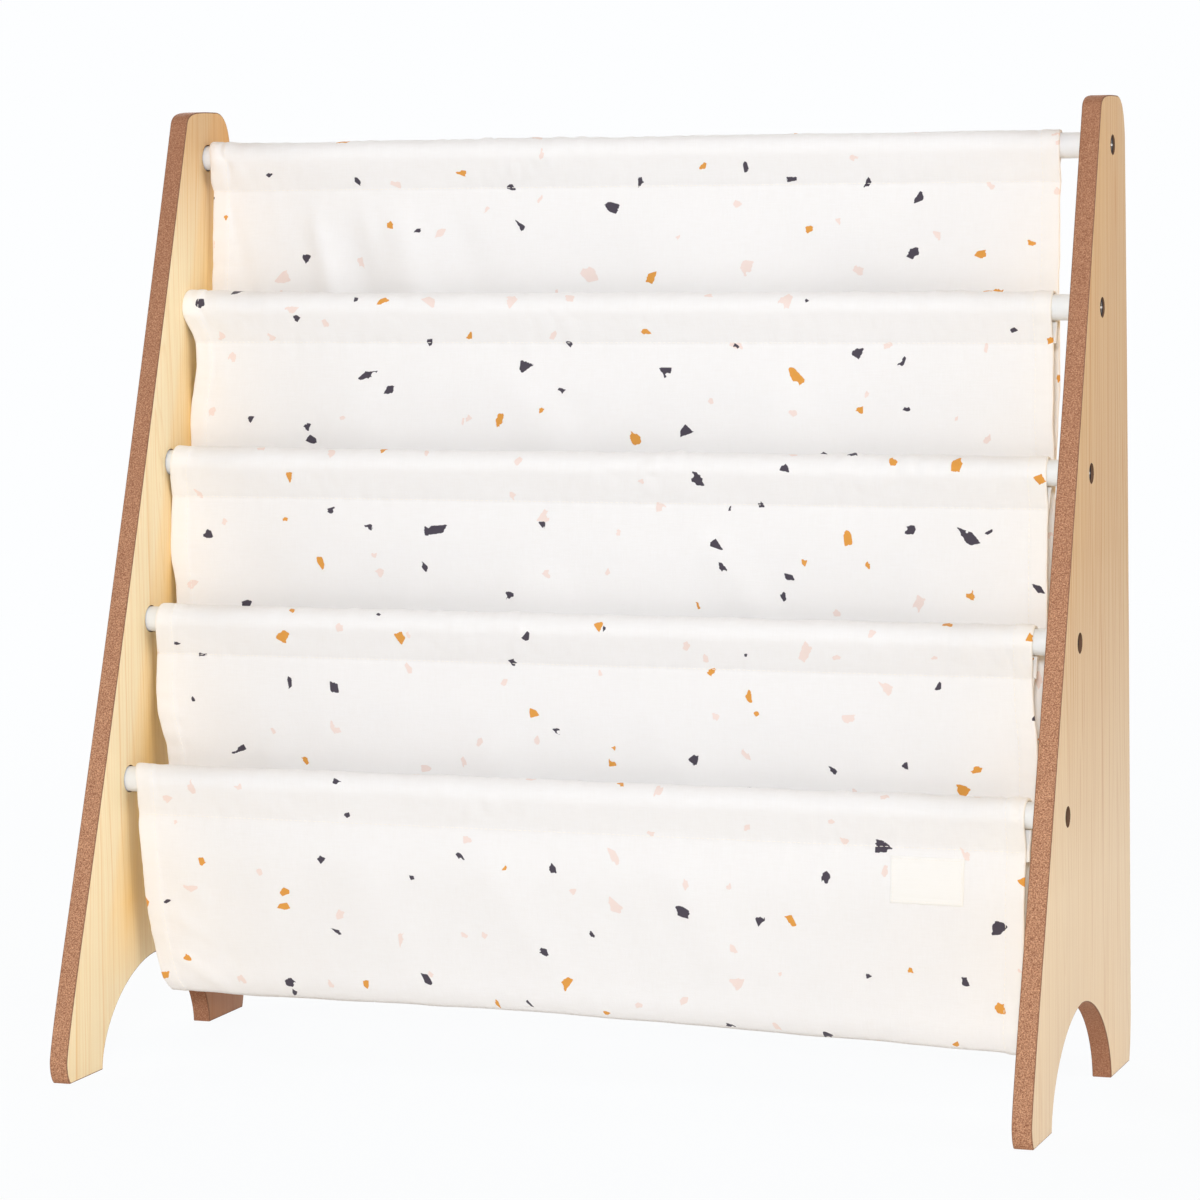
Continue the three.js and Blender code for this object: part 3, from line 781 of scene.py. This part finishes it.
# where the side hems run: distance from the front seam along the cloth and place across, in millimetres
hemLines = [
    {"left": [(-76, -292), (-38, -293.6), (-31, -292.6), (-23, -290.8), (-13, -292.4), (-3, -293.6),
              (1, -292.6), (6, -293), (18, -293.4), (32, -294.2), (50, -294.7), (65, -295.2), (120, -294),
              (190, -287), (232, -280), (275, -286), (355, -295)],
     "right": [(-76, 274.5), (-56, 275.5), (-38, 277.2), (-24, 278), (0, 277), (12, 276.2), (36, 275.8),
               (61, 275.6), (130, 276.2), (190, 273), (232, 268), (275, 273), (355, 280)]},
    {"left": [(-76, -295), (-38, -297.2), (-24, -297.6), (-17, -297.2), (-12, -295.9), (-8, -294),
              (0, -293), (18, -292.5), (24, -294), (31, -294.9), (37, -296.4), (51, -297.3), (64, -297.3),
              (120, -296), (190, -288), (232, -281), (275, -287), (355, -293.5)],
     "right": [(-76, 280), (-24, 279.6), (0, 279), (50, 278.6), (60, 279.1), (120, 280), (190, 276),
               (232, 270), (275, 275), (355, 283)]},
    {"left": [(-76, -293.5), (-38, -292), (-24, -292.9), (-13, -295.0), (0, -296.2), (9, -296.8),
              (29, -297.4), (42, -297), (48, -295.9), (55, -294.5), (61, -293.9), (120, -292),
              (190, -285), (232, -279), (275, -284), (355, -290.5)],
     "right": [(-76, 283), (-24, 283.7), (0, 282.9), (9, 282.4), (31, 282.2), (120, 282), (190, 278),
               (232, 272), (275, 276), (355, 282.5)]},
    {"left": [(-76, -290.5), (-38, -289), (-24, -289.4), (-10, -291.3), (0, -292.6), (17, -293.4),
              (30, -293.6), (43, -291.6), (56, -288.2), (62, -286.9), (110, -285), (170, -282),
              (205, -279), (224, -278), (232, -278), (336, -289.6), (344, -290.4), (352, -289),
              (361, -287.5), (369, -289.4), (377, -292), (386, -292.8), (396, -291.5), (440, -290)],
     "right": [(-76, 282), (-24, 282.6), (0, 280.5), (7, 280.8), (25, 281.9), (37, 283.1), (120, 284),
               (190, 281), (232, 277), (275, 281), (330, 284), (356, 285), (380, 286), (440, 286)]},
]

# the left edge of the lowest pocket's front: height above the floor and place across, in millimetres
frontEdge = [(40, -278.4), (42, -279.4), (44, -280.4), (47, -281.4), (52, -282.6), (60, -284.6),
             (66, -286), (80, -287.3), (99.5, -288.4), (126, -288.8), (138.6, -289.6), (150, -290.8),
             (156, -290.8)]

# folds that show on a strip: place across at the seam and distance down it, drift across per metre down,
# half width, height towards the front, and how far along it begins and ends, in millimetres
foldList = [
    [(-224, 0.22, 7, 2.3, 4, 110), (-198, 0.2, 9, -1.5, 10, 120), (-168, 0.28, 13, 2.8, 2, 130),
     (-189, 0.2, 7, 1.3, 0, 70), (-284, 0.2, 5, -0.9, -6, 90), (-128, 0.35, 10, -1.5, 5, 90),
     (40, -0.5, 22, 1.1, 6, 120), (150, 0.4, 18, 0.9, 8, 120), (-250, 0.12, 6, 0.5, -8, 60),
     (95, 0.3, 12, -0.6, 4, 90)],
    [(-78, 0.62, 15, 1.5, 8, 150), (-40, 0.6, 16, -0.6, 20, 150), (-190, 0.4, 18, 0.8, 10, 130),
     (90, 0.5, 20, 0.9, 10, 140), (215, -0.3, 16, 0.8, 6, 120), (-276, 0.1, 5, 0.6, 0, 60)],
    [(58, 0.7, 13, 1.3, 6, 140), (-60, 0.55, 16, 0.9, 25, 150), (-31, 0.2, 5, 0.7, 38, 80),
     (-220, 0.3, 20, 0.7, 8, 120), (190, 0.45, 16, 0.8, 10, 130)],
    [(-230, 0.35, 15, 0.9, 6, 130), (-90, 0.5, 18, 0.8, 10, 140), (30, 0.5, 14, 0.7, 14, 130),
     (160, 0.4, 18, 0.9, 8, 130), (240, -0.2, 12, 0.6, 5, 100)],
]

# folds of the lowest pocket's front: place across and height above the floor of both ends, half width and
# height towards the front, in millimetres
frontFolds = [
    (-66, 150, -8, 55, 14, 1.5), (55, 150, 112, 60, 17, 1.3), (-270, 92, -240, 70, 4.5, 1.0),
    (-274, 66, -236, 44, 4, 1.5), (-262, 112, -244, 98, 4, 0.6), (-150, 150, -110, 60, 18, 0.9),
    (180, 150, 214, 80, 14, 0.8), (-258, 80, -228, 62, 5, -0.9), (18, 120, 44, 50, 12, -0.7),
    (150, 90, 176, 42, 12, 0.8),
]

# waves that slacken the cloth: first seed, longest and shortest, how many, how far they turn, height
waves = {
    "broad": (10, 0.16, 0.05, 9, 0.9, 0.0007), "fine": (20, 0.05, 0.018, 9, 0.7, 0.00012),
    "edge": (40, 0.09, 0.02, 5, 0, 0.0004),
    "gather": (50, 0.015, 0.006, 12, 0.35, 0.00036),
    "loose": (60, 0.034, 0.010, 14, 0.5, 0.0015), "busy": (70, 0.3, 0.12, 4, 0, 1),
    "sleeve": (80, 0.12, 0.05, 5, 0.6, 0.0004),
    "hem": (90, 0.016, 0.007, 8, 0.3, 0.0002), "side": (95, 0.11, 0.05, 4, 0.2, 0.0011),
    "patch": (7, 0.02, 0.008, 6, 1.0, 0.00008),
}


# a sum of plane waves with random directions, lengths and phases, of about the kind's height
def waved(kind, x, s, k=0):
    seed, longest, shortest, count, lean, high = waves[kind]
    chance = np.random.default_rng(seed + k)
    total = np.zeros(np.broadcast(x, s).shape)
    for n in range(count):
        length = longest * (shortest / longest) ** chance.random()
        turn = chance.normal(0, lean)
        phase = chance.random() * math.tau
        along = (x * math.cos(turn) + s * math.sin(turn)) / length
        total += np.sin(math.tau * along + phase) * length / longest
    return total / math.sqrt(count) * high


# A smooth line through knots, given for each column: centripetal Catmull-Rom, whose tangents weigh the chords
# by the square root of their lengths
def throughKnots(knots, t):
    ends = 2 * knots[:, :1] - knots[:, 1:2], 2 * knots[:, -1:] - knots[:, -2:-1]
    padded = np.concatenate([ends[0], knots, ends[1]], 1)
    chord = np.linalg.norm(np.diff(padded, axis=1), axis=2, keepdims=True) ** 0.5
    spot = t * (knots.shape[1] - 1)
    piece = np.minimum(spot.astype(int), knots.shape[1] - 2)
    w = (spot - piece)[None, :, None]
    a, b, c, d = (padded[:, piece + n] for n in range(4))
    before, here, after = (chord[:, piece + n] for n in range(3))
    leave = ((b - a) / before - (c - a) / (before + here) + (c - b) / here) * here
    arrive = ((c - b) / here - (d - b) / (here + after) + (d - c) / after) * here
    cubic = 2 * (b - c) + leave + arrive
    return b + leave * w + (c - b - leave - cubic) * w ** 2 + cubic * w ** 3


# Round a rod, from the seam behind it over the top to the seam in front: straight to the circle of the given
# radius, round it, and straight down again
def roundRod(axis, radius, c):
    aside, drop = c["aside"], c["seamDrop"]
    start = math.atan2(aside, drop) + math.acos(radius / math.hypot(aside, drop)) - math.pi / 2
    arc = circle(np.linspace(start, math.pi - start, c["arcRows"])) * radius
    step = np.linspace(0, 1, c["sideRows"] + 1)[:, None]
    rear, front = np.array([aside, -drop]), np.array([-aside, -drop])
    rise, fall = rear + (arc[0] - rear) * step[:-1], arc[-1] + (front - arc[-1]) * step[1:]
    return axis + np.concatenate([rise, arc, fall])


# a smooth step from 0 to 1 between two values
def eased(value, low, high):
    t = np.clip((value - low) / (high - low), 0, 1)
    return t * t * (3 - 2 * t)


# a ridge exp(-d^2), with d the distance across over its half width
def ridge(across, halfWidth):
    return np.exp(-(across / halfWidth) ** 2)


# how far along a line of points each one lies
def walked(line):
    return np.concatenate([[0], np.cumsum(np.linalg.norm(np.diff(line, axis=0), axis=1))])


# where a strip's columns lie across the flat cloth: close together over both hems, evenly between them
def columnPlaces(c):
    hem = np.linspace(0, c["hem"] + c["hemPast"], c["hemColumns"])
    middle = np.linspace(hem[-1], c["width"] - hem[-1], c["middleColumns"])
    return np.concatenate([hem[:-1], middle, c["width"] - hem[::-1][1:]])


# The middle line of a strip with no folds in it, as (y, z) for each row and column: round its upper rod, down
# the back wall, under and up to the next rod, with the tails at the sling's two free ends; and its seam's row
def stripLine(k, share, c):
    upper, lower = rodAxes[k - 1], rodAxes[k]
    last = k == rodCount - 1
    radius = rodRadius + c["ease"] + c["thick"] / 2
    past = np.maximum(0, (share - c["dipStart"]) / (1 - c["dipStart"]))
    fall = rodAxes[-1][1] - c["lowest"] + c["dip"] * c["dipShares"][k - 1] * past ** 1.5
    fall = fall - c["cornerLift"] * (1 - eased(share, 0, c["cornerShare"])) ** 1.5
    along, down = np.array(c["back"] + c["turn"] + (c["shown"] if last else c["hidden"])).T
    bends = np.stack([along * (upper[0] - lower[0]) + 0 * fall[:, None], -down * fall[:, None]], -1)
    front, rear = np.array([-c["aside"], -c["seamDrop"]]), np.array([c["aside"], -c["seamDrop"]])
    ends = upper + front, lower + (front if last else rear)
    first, final = (np.broadcast_to(end, (len(share), 1, 2)) for end in ends)
    knots = np.concatenate([first, lower + bends, final], 1)
    # rows crowd towards the two seams
    even = np.linspace(0, 1, 1200)
    length = walked(throughKnots(knots[len(share) // 2][None], even)[0])
    crowded = np.linspace(0, 1, c["wallRows"])
    crowded = crowded - c["crowd"] / math.tau * np.sin(math.tau * crowded)
    wall = throughKnots(knots, np.interp(crowded * length[-1], length, even))
    tail = np.array(c["tail"]) * [1, -1]
    parts, seamRow = [roundRod(upper, radius, c), wall[:, 1:]], 2 * c["sideRows"] + c["arcRows"] - 1
    if k == 1:
        parts.insert(0, upper + rear + np.linspace(1, 0, c["firstTail"] + 1)[:-1, None] * tail)
        seamRow += c["firstTail"]
    if last:
        over = roundRod(lower, radius, c)[::-1]
        parts += [over[1:], over[-1] + np.linspace(0, 1, c["lastTail"] + 1)[1:, None] * tail]
    wide = [np.broadcast_to(part, (len(share), *part.shape[-2:])) for part in parts]
    return np.concatenate(wide, 1).transpose(1, 0, 2), seamRow


# where the two side hems of a strip lie across, for each row
def hemPlaces(k, along, height, wallEnd):
    places = [np.interp(along * 1000, *np.array(hemLines[k - 1][side]).T) for side in ("left", "right")]
    if k == rodCount - 1:
        rising = (along > along[np.argmin(height)]) & (height * 1000 < frontEdge[-1][0]) & (along < wallEnd)
        places[0] = np.where(rising, np.interp(height * 1000, *np.array(frontEdge).T), places[0])
    padded = [np.pad(place / 1000, 2, mode="edge") for place in places]
    wobble = waved("edge", along, 0 * along, k)
    return [np.convolve(place, np.ones(5) / 5, mode="valid") + wobble for place in padded]


# how far each point moves out, towards the side that faces forward on the back wall, by the strip's folds
def foldLift(k, x, z, s, share, wallEnd, c):
    inWall, foot = np.clip(s / wallEnd, 0, 1), c["footShare"]
    turned = c["foldCounts"][k - 1] * share + c["foldStarts"][k - 1] + c["foldLean"] * inWall
    lift = c["foldDepth"] * np.sin(math.tau * turned) * np.sin(math.pi * inWall) ** 2
    lift = lift * np.where(inWall < foot, -1, 1) * eased(np.abs(inWall - foot), 0, c["footFade"])
    rising, dying = c["creaseEnds"]
    narrow, gain, spread = c["creaseWiden"]
    for fold in foldList[k - 1]:
        place, half, rise, begin, end = (fold[n] / 1000 for n in (0, 2, 3, 4, 5))
        centre = place + fold[1] * (s - begin)
        body = eased(s, begin, begin + rising) * (1 - eased(s, end - dying, end))
        lift = lift + ridge(x - centre, half * (narrow + gain * eased(s, 0, spread))) * rise * body
    if k < rodCount - 1:
        return lift
    front = (s > wallEnd * c["frontStart"]) & (s <= wallEnd + c["frontPast"])
    outside, within = c["frontEnds"]
    for fold in frontFolds:
        x0, z0, x1, z1, half, rise = np.array(fold) / 1000
        size = math.hypot(x1 - x0, z1 - z0)
        t = ((x - x0) * (x1 - x0) + (z - z0) * (z1 - z0)) / size ** 2
        off = ((x - x0) * (z1 - z0) - (z - z0) * (x1 - x0)) / size
        body = eased(t, -outside, within) * (1 - eased(t, 1 - within, 1 + outside))
        lift = lift - front * ridge(off, half) * body * rise
    return lift


# and by its slack: broad and fine waves, gathers that die out a little way from each seam, slacker ones round
# the rods, and side hems that pucker a little across their width
def slackLift(k, x, s, share, inset, wallEnd, c):
    last = k == rodCount - 1
    calm = eased(s, *c["calm"]) * eased(wallEnd - s, *c["calm"])
    lift = calm * (waved("broad", x, s, k) + waved("fine", x, s, k))
    groove, wide = c["seamGroove"]
    for seam, firm in ((0.0, 1), (wallEnd, 1 if last else -1)):
        near = np.exp(-np.abs(s - seam) / c["gatherFade"])
        gathers = near * waved("gather", x, s * c["gatherDrawn"], k + firm)
        lift = lift + gathers - groove * ridge(s - seam, wide)
    begin, full = c["sleeveFrom"]
    sleeve = eased(-s, begin, full)
    if last:
        sleeve = sleeve - eased(s, wallEnd + begin, wallEnd + full)
    busy = c["leastBusy"] + (1 - c["leastBusy"]) * eased(waved("busy", x, 0 * x, k), *c["busyFrom"])
    loose = np.abs(waved("loose", x, s * c["looseDrawn"], k))
    lift = lift + sleeve * (loose * busy - c["taut"] + waved("sleeve", x, s, k))
    lift = lift + eased(-s, *c["slackFrom"]) * c["slack"][k - 1] * (1 - eased(share, 0, c["slackShare"]))
    inner, outer = c["puckerFade"]
    hemmed = 1 - eased(inset, c["hem"] - inner, c["hem"] + outer)
    lift = lift + hemmed * waved("hem", s, x, k) * (c["leastPucker"] + calm)
    return lift + (1 - eased(inset, 0, c["sideFade"])) * calm * waved("side", s, x, k)


# the direction across a grid of points, and the one that stands on it
def gridWays(grid):
    down, over = np.gradient(grid, axis=(0, 1))
    return unit(over), unit(np.cross(down, over))


# A strip's middle surface: its line spread across, x = left (1 - share) + right share, then moved along
# its normal by folds and slack; and half its thickness, which steps up over the hems
def shapeStrip(k, c):
    flatX = columnPlaces(c)
    share = flatX / c["width"]
    line, seamRow = stripLine(k, share, c)
    along = walked(line[:, len(share) // 2])
    along -= along[seamRow]
    wallEnd = along[seamRow + c["wallRows"] - 1]
    left, right = hemPlaces(k, along, line[:, 0, 1], wallEnd)
    x = left[:, None] * (1 - share) + right[:, None] * share
    s, inset = along[:, None] + 0 * x, np.minimum(flatX, c["width"] - flatX)
    lift = foldLift(k, x, line[..., 1], s, share, wallEnd, c) + slackLift(k, x, s, share, inset, wallEnd, c)
    middle = np.concatenate([x[..., None], line], -1)
    middle = middle + gridWays(middle)[1] * lift[..., None]
    over, normal = gridWays(middle)
    thick = c["thick"] + (c["hemThick"] - c["thick"]) * (1 - eased(inset, c["hem"] - c["hemStep"], c["hem"]))
    deep, place, wide = c["hemGroove"]
    thick = thick - deep * ridge(inset - place, wide)
    return {"middle": middle, "normal": normal, "over": over, "half": thick[None, :, None] / 2,
            "along": along, "flatX": flatX, "wallEnd": wallEnd, "k": k}


# A closed shell round the strip: each row is a loop of the forward side, a round rim, the other side and a
# round rim again, and the loops' flat coordinate runs on round them
def addStrip(strip, c):
    middle, normal, over, half = (strip[key] for key in ("middle", "normal", "over", "half"))
    flatX, k = strip["flatX"], strip["k"]
    bend = np.radians([45, 0, -45])[None, :, None]
    rims = []
    for column, way in ((-1, 1), (0, -1)):
        out = over[:, column][:, None] * np.cos(bend) + normal[:, column][:, None] * np.sin(bend)
        rims.append(middle[:, column][:, None] + out * way * half[:, column][:, None])
    loop = np.concatenate([middle + normal * half, rims[0], (middle - normal * half)[:, ::-1], rims[1]], 1)
    rows, wide = loop.shape[:2]
    width, rim, count = c["width"], c["hemThick"] / 2, len(flatX)
    u = np.concatenate([flatX, width + rim * np.array([0.5, 1, 1.5]), 2 * (width + rim) - flatX[::-1],
                        2 * width + rim * np.array([2.5, 3, 3.5, 4])])
    v = strip["along"] + c["apart"] * k
    columns, lines = np.tile(np.arange(wide), rows - 1), np.repeat(np.arange(rows - 1), wide)
    corners = [(columns, lines), (columns, lines + 1), (columns + 1, lines + 1), (columns + 1, lines)]
    flat = np.stack([np.stack([u[a], v[b]], -1) for a, b in corners], 1)
    points, faces, caps = loop.reshape(-1, 3), gridFaces(rows, wide, True), []
    for base in (0, (rows - 1) * wide):
        here, other = base + np.arange(count), base + 2 * count + 2 - np.arange(count)
        quads = np.stack([here[:-1], other[:-1], other[1:], here[1:]], -1).tolist()
        ends = [[*range(here[-1], other[-1] + 1)], [*range(other[0], base + wide), base]]
        caps += [cap[::-1] if base else cap for cap in quads + ends]
    if not outward(points, faces):
        faces, flat, caps = faces[:, ::-1], flat[:, ::-1], [cap[::-1] for cap in caps]
    mesh = newMesh(f"sling_{k}", points, faces.tolist() + caps)
    piece = addPiece(f"sling_{k}", mesh, ["cloth"])
    setFlat(mesh, np.concatenate([flat.reshape(-1, 2), np.full((sum(len(cap) for cap in caps), 2), 0.1)]))
    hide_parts(f"sleeve_{k}", f"pocket_{k}", *(["sleeve_5"] if k == rodCount - 1 else []))
    return piece


# points of a strip's forward or other side, and their normals, at places along and across the flat cloth
def onStrip(strip, side, along, across):
    row = np.interp(along, strip["along"], np.arange(len(strip["along"])))
    column = np.interp(across, strip["flatX"], np.arange(len(strip["flatX"])))
    surface = strip["middle"] + side * strip["normal"] * strip["half"]
    r = np.minimum(row.astype(int), len(strip["along"]) - 2)
    q = np.minimum(column.astype(int), len(strip["flatX"]) - 2)
    a, b = (row - r)[..., None], (column - q)[..., None]

    def at(grid):
        return ((grid[r, q] * (1 - a) + grid[r + 1, q] * a) * (1 - b)
                + (grid[r, q + 1] * (1 - a) + grid[r + 1, q + 1] * a) * b)

    return at(surface), at(strip["normal"]) * side


stitch = {
    "pitch": 0.0032, "length": 0.0025, "thread": 0.00021, "sides": 6,
    "inset": 0.0105,                              # of the side hems' stitches
    "clear": (0.002, 0.003),                      # no stitches so near the cloth's side and its end
    "along": (-1, -0.72, -0.25, 0.25, 0.72, 1),   # its rings, as shares of half its length
    "thin": (0.35, 0.85, 1, 1, 0.85, 0.35),       # and how much of the thread's radius each has
    "rise": 1.2, "sink": 0.9,                     # of its middle and its ends, in thread radii
}


# Stitches: one small thread loop, a tube whose middle line rises as 1 - t^4 and dips in at both ends, set
# down at every place in whole arrays
def stitchRow(places, normals, s):
    ways = unit(np.gradient(places, axis=0))
    beside = np.cross(normals, ways)
    t = np.array(s["along"])
    along = np.repeat(t * s["length"] / 2, s["sides"])
    thin = np.repeat(np.array(s["thin"]) * s["thread"], s["sides"])
    rise = np.repeat((1 - t ** 4) * s["thread"] * s["rise"] - s["thread"] * s["sink"], s["sides"])
    aside, up = thin * np.tile(circle(turns(s["sides"])), (len(t), 1)).T + [0 * rise, rise]
    points = (places[:, None] + ways[:, None] * along[None, :, None] + beside[:, None] * aside[None, :, None]
              + normals[:, None] * up[None, :, None])
    return points, tubeFaces(points[0], len(t), s["sides"])


# one piece of thread from rows of stitches, each a block of loops and the faces of one loop
def addThread(name, rows):
    points = np.concatenate([block.reshape(-1, 3) for block, shape in rows])
    faces, start = [], 0
    for block, shape in rows:
        for loop in block:
            faces += [[n + start for n in face] for face in shape]
            start += len(loop)
    return addPiece(name, newMesh(name, points, faces), ["thread"])


# stitches along a strip's seams, and along both side hems on both faces
def addStitches(strip, c, s):
    rows = []
    width, wallEnd, k = c["width"], strip["wallEnd"], strip["k"]
    begin, end, tail = strip["along"][0], strip["along"][-1], c["tail"][1]
    across = np.arange(s["clear"][0], width - s["clear"][0], s["pitch"])
    seams = [(0.0, 1), (begin + (tail if k == 1 else 0), 1)]
    if k == rodCount - 1:
        seams += [(wallEnd, -1), (end - tail, -1)]
    for place, side in seams:
        rows.append(stitchRow(*onStrip(strip, side, np.full(len(across), place), across), s))
    down = np.arange(begin + s["clear"][1], end - s["clear"][1], s["pitch"])
    for inset in (s["inset"], width - s["inset"]):
        for side in (1, -1):
            rows.append(stitchRow(*onStrip(strip, side, down, np.full(len(down), inset)), s))
    return addThread(f"stitches_{k}", rows)


for k in range(1, rodCount):
    strip = shapeStrip(k, cloth)
    piece = addStrip(strip, cloth)
    sewn = addStitches(strip, cloth, stitch)

# the bare sewn patch on the lowest pocket

patch = {
    "width": 0.0453, "height": 0.0266, "inset": 0.036, "drop": 0.005, "columns": 61, "rows": 41,
    "thick": 0.0005, "fold": 0.0032, "foldStep": 0.0008, "rim": 0.0005, "sewn": 0.0016,
    "single": 0.62, "groove": (0.00012, 0.0006),  # the middle's share of the thickness; its stitches' groove
    "under": 0.00006, "over": 0.00015,            # from the cloth to the patch's underside and its rim
    "step": 0.0024, "rise": 0.00058,              # of the stitches
    "stitch": dict(stitch, length=0.0019, thread=0.00015),
}


# The patch follows the cloth under it: its height over the cloth is its thickness, a little more where its
# border is folded under, and falls to nothing at the rim
def addPatch(p, strip, c):
    u, v = np.linspace(0, 1, p["columns"]), np.linspace(0, 1, p["rows"])
    across = c["width"] - p["inset"] - p["width"] * (1 - u)
    along = strip["wallEnd"] - p["drop"] - p["height"] * (1 - v)
    places, normals = onStrip(strip, -1, along[:, None] + 0 * across, across + 0 * along[:, None])
    fromEdge = np.minimum(np.minimum(u, 1 - u) * p["width"], np.minimum(v, 1 - v)[:, None] * p["height"])
    folded = 1 - eased(fromEdge, p["fold"] - p["foldStep"], p["fold"])
    rim = np.sqrt(1 - (1 - np.clip(fromEdge / p["rim"], 0, 1)) ** 2)
    deep, wide = p["groove"]
    sunk = ridge(fromEdge - p["sewn"], wide) * deep
    high = p["over"] + (p["thick"] * (p["single"] + (1 - p["single"]) * folded) - sunk) * rim
    high = high + waved("patch", across[None], along[:, None])
    shell = np.stack([places + normals * high[..., None], places + normals * p["under"]])
    rows, wide = shell.shape[1:3]
    last = (rows - 1) * wide
    rimOf = np.concatenate([np.arange(wide - 1), np.arange(rows - 1) * wide + wide - 1,
                            last + np.arange(wide - 1, 0, -1), np.arange(rows - 1, 0, -1) * wide])
    following = np.roll(rimOf, -1)
    around = np.stack([rimOf, following, following + rows * wide, rimOf + rows * wide], -1)
    top = gridFaces(rows, wide)
    faces = np.concatenate([top, top[:, ::-1] + rows * wide, around])
    points = shell.reshape(-1, 3)
    if not outward(points, faces):
        faces = faces[:, ::-1]
    mesh = newMesh("patch", points, faces.tolist())
    piece = addPiece("patch", mesh, ["patch"], 60)
    flat = np.stack(np.meshgrid(across, along), -1).reshape(-1, 2)
    setFlat(mesh, np.concatenate([flat, flat])[faces.ravel()])
    # thread round the border
    inset, step = p["sewn"], p["step"]
    xs, ys = np.arange(inset, p["width"] - inset, step), np.arange(inset, p["height"] - inset, step)
    runs = [(xs, inset + 0 * xs), (xs, p["height"] - inset + 0 * xs),
            (inset + 0 * ys, ys), (p["width"] - inset + 0 * ys, ys)]
    rows = []
    for a, b in runs:
        spots, ups = onStrip(strip, -1, along[0] + b, across[0] + a)
        rows.append(stitchRow(spots + ups * p["rise"], ups, p["stitch"]))
    sewn = addThread("patch_stitches", rows)
    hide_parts("label_patch")


addPatch(patch, strip, cloth)      # on the last strip
print("patch made")

# floor, backdrop and light

room = {
    "floor": 7.0, "sides": 96, "floorColour": (240, 238, 234), "floorGlow": 0.95,
    "fade": (1.0, 3.0),        # how far out the floor turns all white
    "worldLight": 0.345, "worldColour": (1.0, 0.82, 0.62, 1.0),
    "white": (253, 254, 255),
}


# 1 for what the camera sees, in a mirror and through glass too
def seenBy(wire):
    rays = wire.node("LightPath", {}, {}, "Is Camera Ray")
    return rays.math("MAXIMUM", rays.also("Is Glossy Ray")).math("MAXIMUM", rays.also("Is Transmission Ray"))


# White floor: mostly plain white where it is seen, so that only a faint shadow stays, and all white far out
def addFloor(r):
    material, place = newFinish("floor_white")
    far = place.node("VectorMath", {"operation": "LENGTH"}, {0: place}, "Value").ramp(*r["fade"])
    share = seenBy(place) * (r["floorGlow"] + (1 - r["floorGlow"]) * far)
    plain = place.node("BsdfDiffuse", {}, {"Color": shade(*r["floorColour"])})
    glow = place.node("Emission", {}, {"Color": shade(*r["white"]), "Strength": 1.0})
    surface = place.node("MixShader", {}, {0: share, 1: plain, 2: glow})
    place.node("OutputMaterial", {}, {"Surface": surface})
    rim = circle(turns(r["sides"])) * r["floor"]
    mesh = newMesh("floor", np.column_stack([rim, 0 * rim[:, 0]]), [range(r["sides"])])
    mesh.materials.append(material)
    addObject("floor", mesh)


# white all round where it is seen, and a dim warm light for everything else
def addWorld(r):
    world = bpy.data.worlds.new("studio")
    world.use_nodes = True
    world.node_tree.nodes.clear()
    wire = Wire(world.node_tree)
    white = wire.node("Background", {}, {"Color": shade(*r["white"]), "Strength": 1.0})
    light = wire.node("Background", {}, {"Color": r["worldColour"], "Strength": r["worldLight"]})
    surface = wire.node("MixShader", {}, {0: seenBy(wire), 1: light, 2: white})
    wire.node("OutputWorld", {}, {"Surface": surface})
    bpy.context.scene.world = world


# Each lamp stands at so many degrees round the rack to its right and so many up, at a distance, and lights
# a face turned to it by so much, where 1 shows a colour as it is written
lamps = {
    "front": {"round": 16, "up": 12, "away": 4.2, "size": (0.5, 0.35), "light": 0.576},
    "left": {"round": -84, "up": 24, "away": 4.0, "size": (1.8, 1.4), "light": 0.3},
    "right": {"round": 88, "up": 24, "away": 4.0, "size": (1.8, 1.4), "light": 0.34},
    "top": {"round": 20, "up": 66, "away": 3.2, "size": (2.4, 2.4), "light": 0.05},
    "back": {"round": 215, "up": 22, "away": 4.0, "size": (2.4, 2.0), "light": 0.5},
}
lampColour = (0.825, 0.91, 1.0)        # cool, so that with the warm world faces in full light look neutral
lampTarget = np.array([0, 0, 0.3])


# An area lamp of power P lights a face at distance d by P / (pi d)^2
def addLamp(name, lamp):
    light = bpy.data.lights.new(name, "AREA")
    light.shape, (light.size, light.size_y) = "RECTANGLE", lamp["size"]
    light.energy, light.color = lamp["light"] * (math.pi * lamp["away"]) ** 2, lampColour
    holder = addObject(name, light)
    back = bearing(lamp["round"], lamp["up"])
    stand(holder, lampTarget + back * lamp["away"], back)
    holder.visible_camera = False


addFloor(room)
addWorld(room)
for name, lamp in lamps.items():
    addLamp(name, lamp)
bpy.context.scene.view_settings.view_transform = "Standard"
print("floor and lamps made")
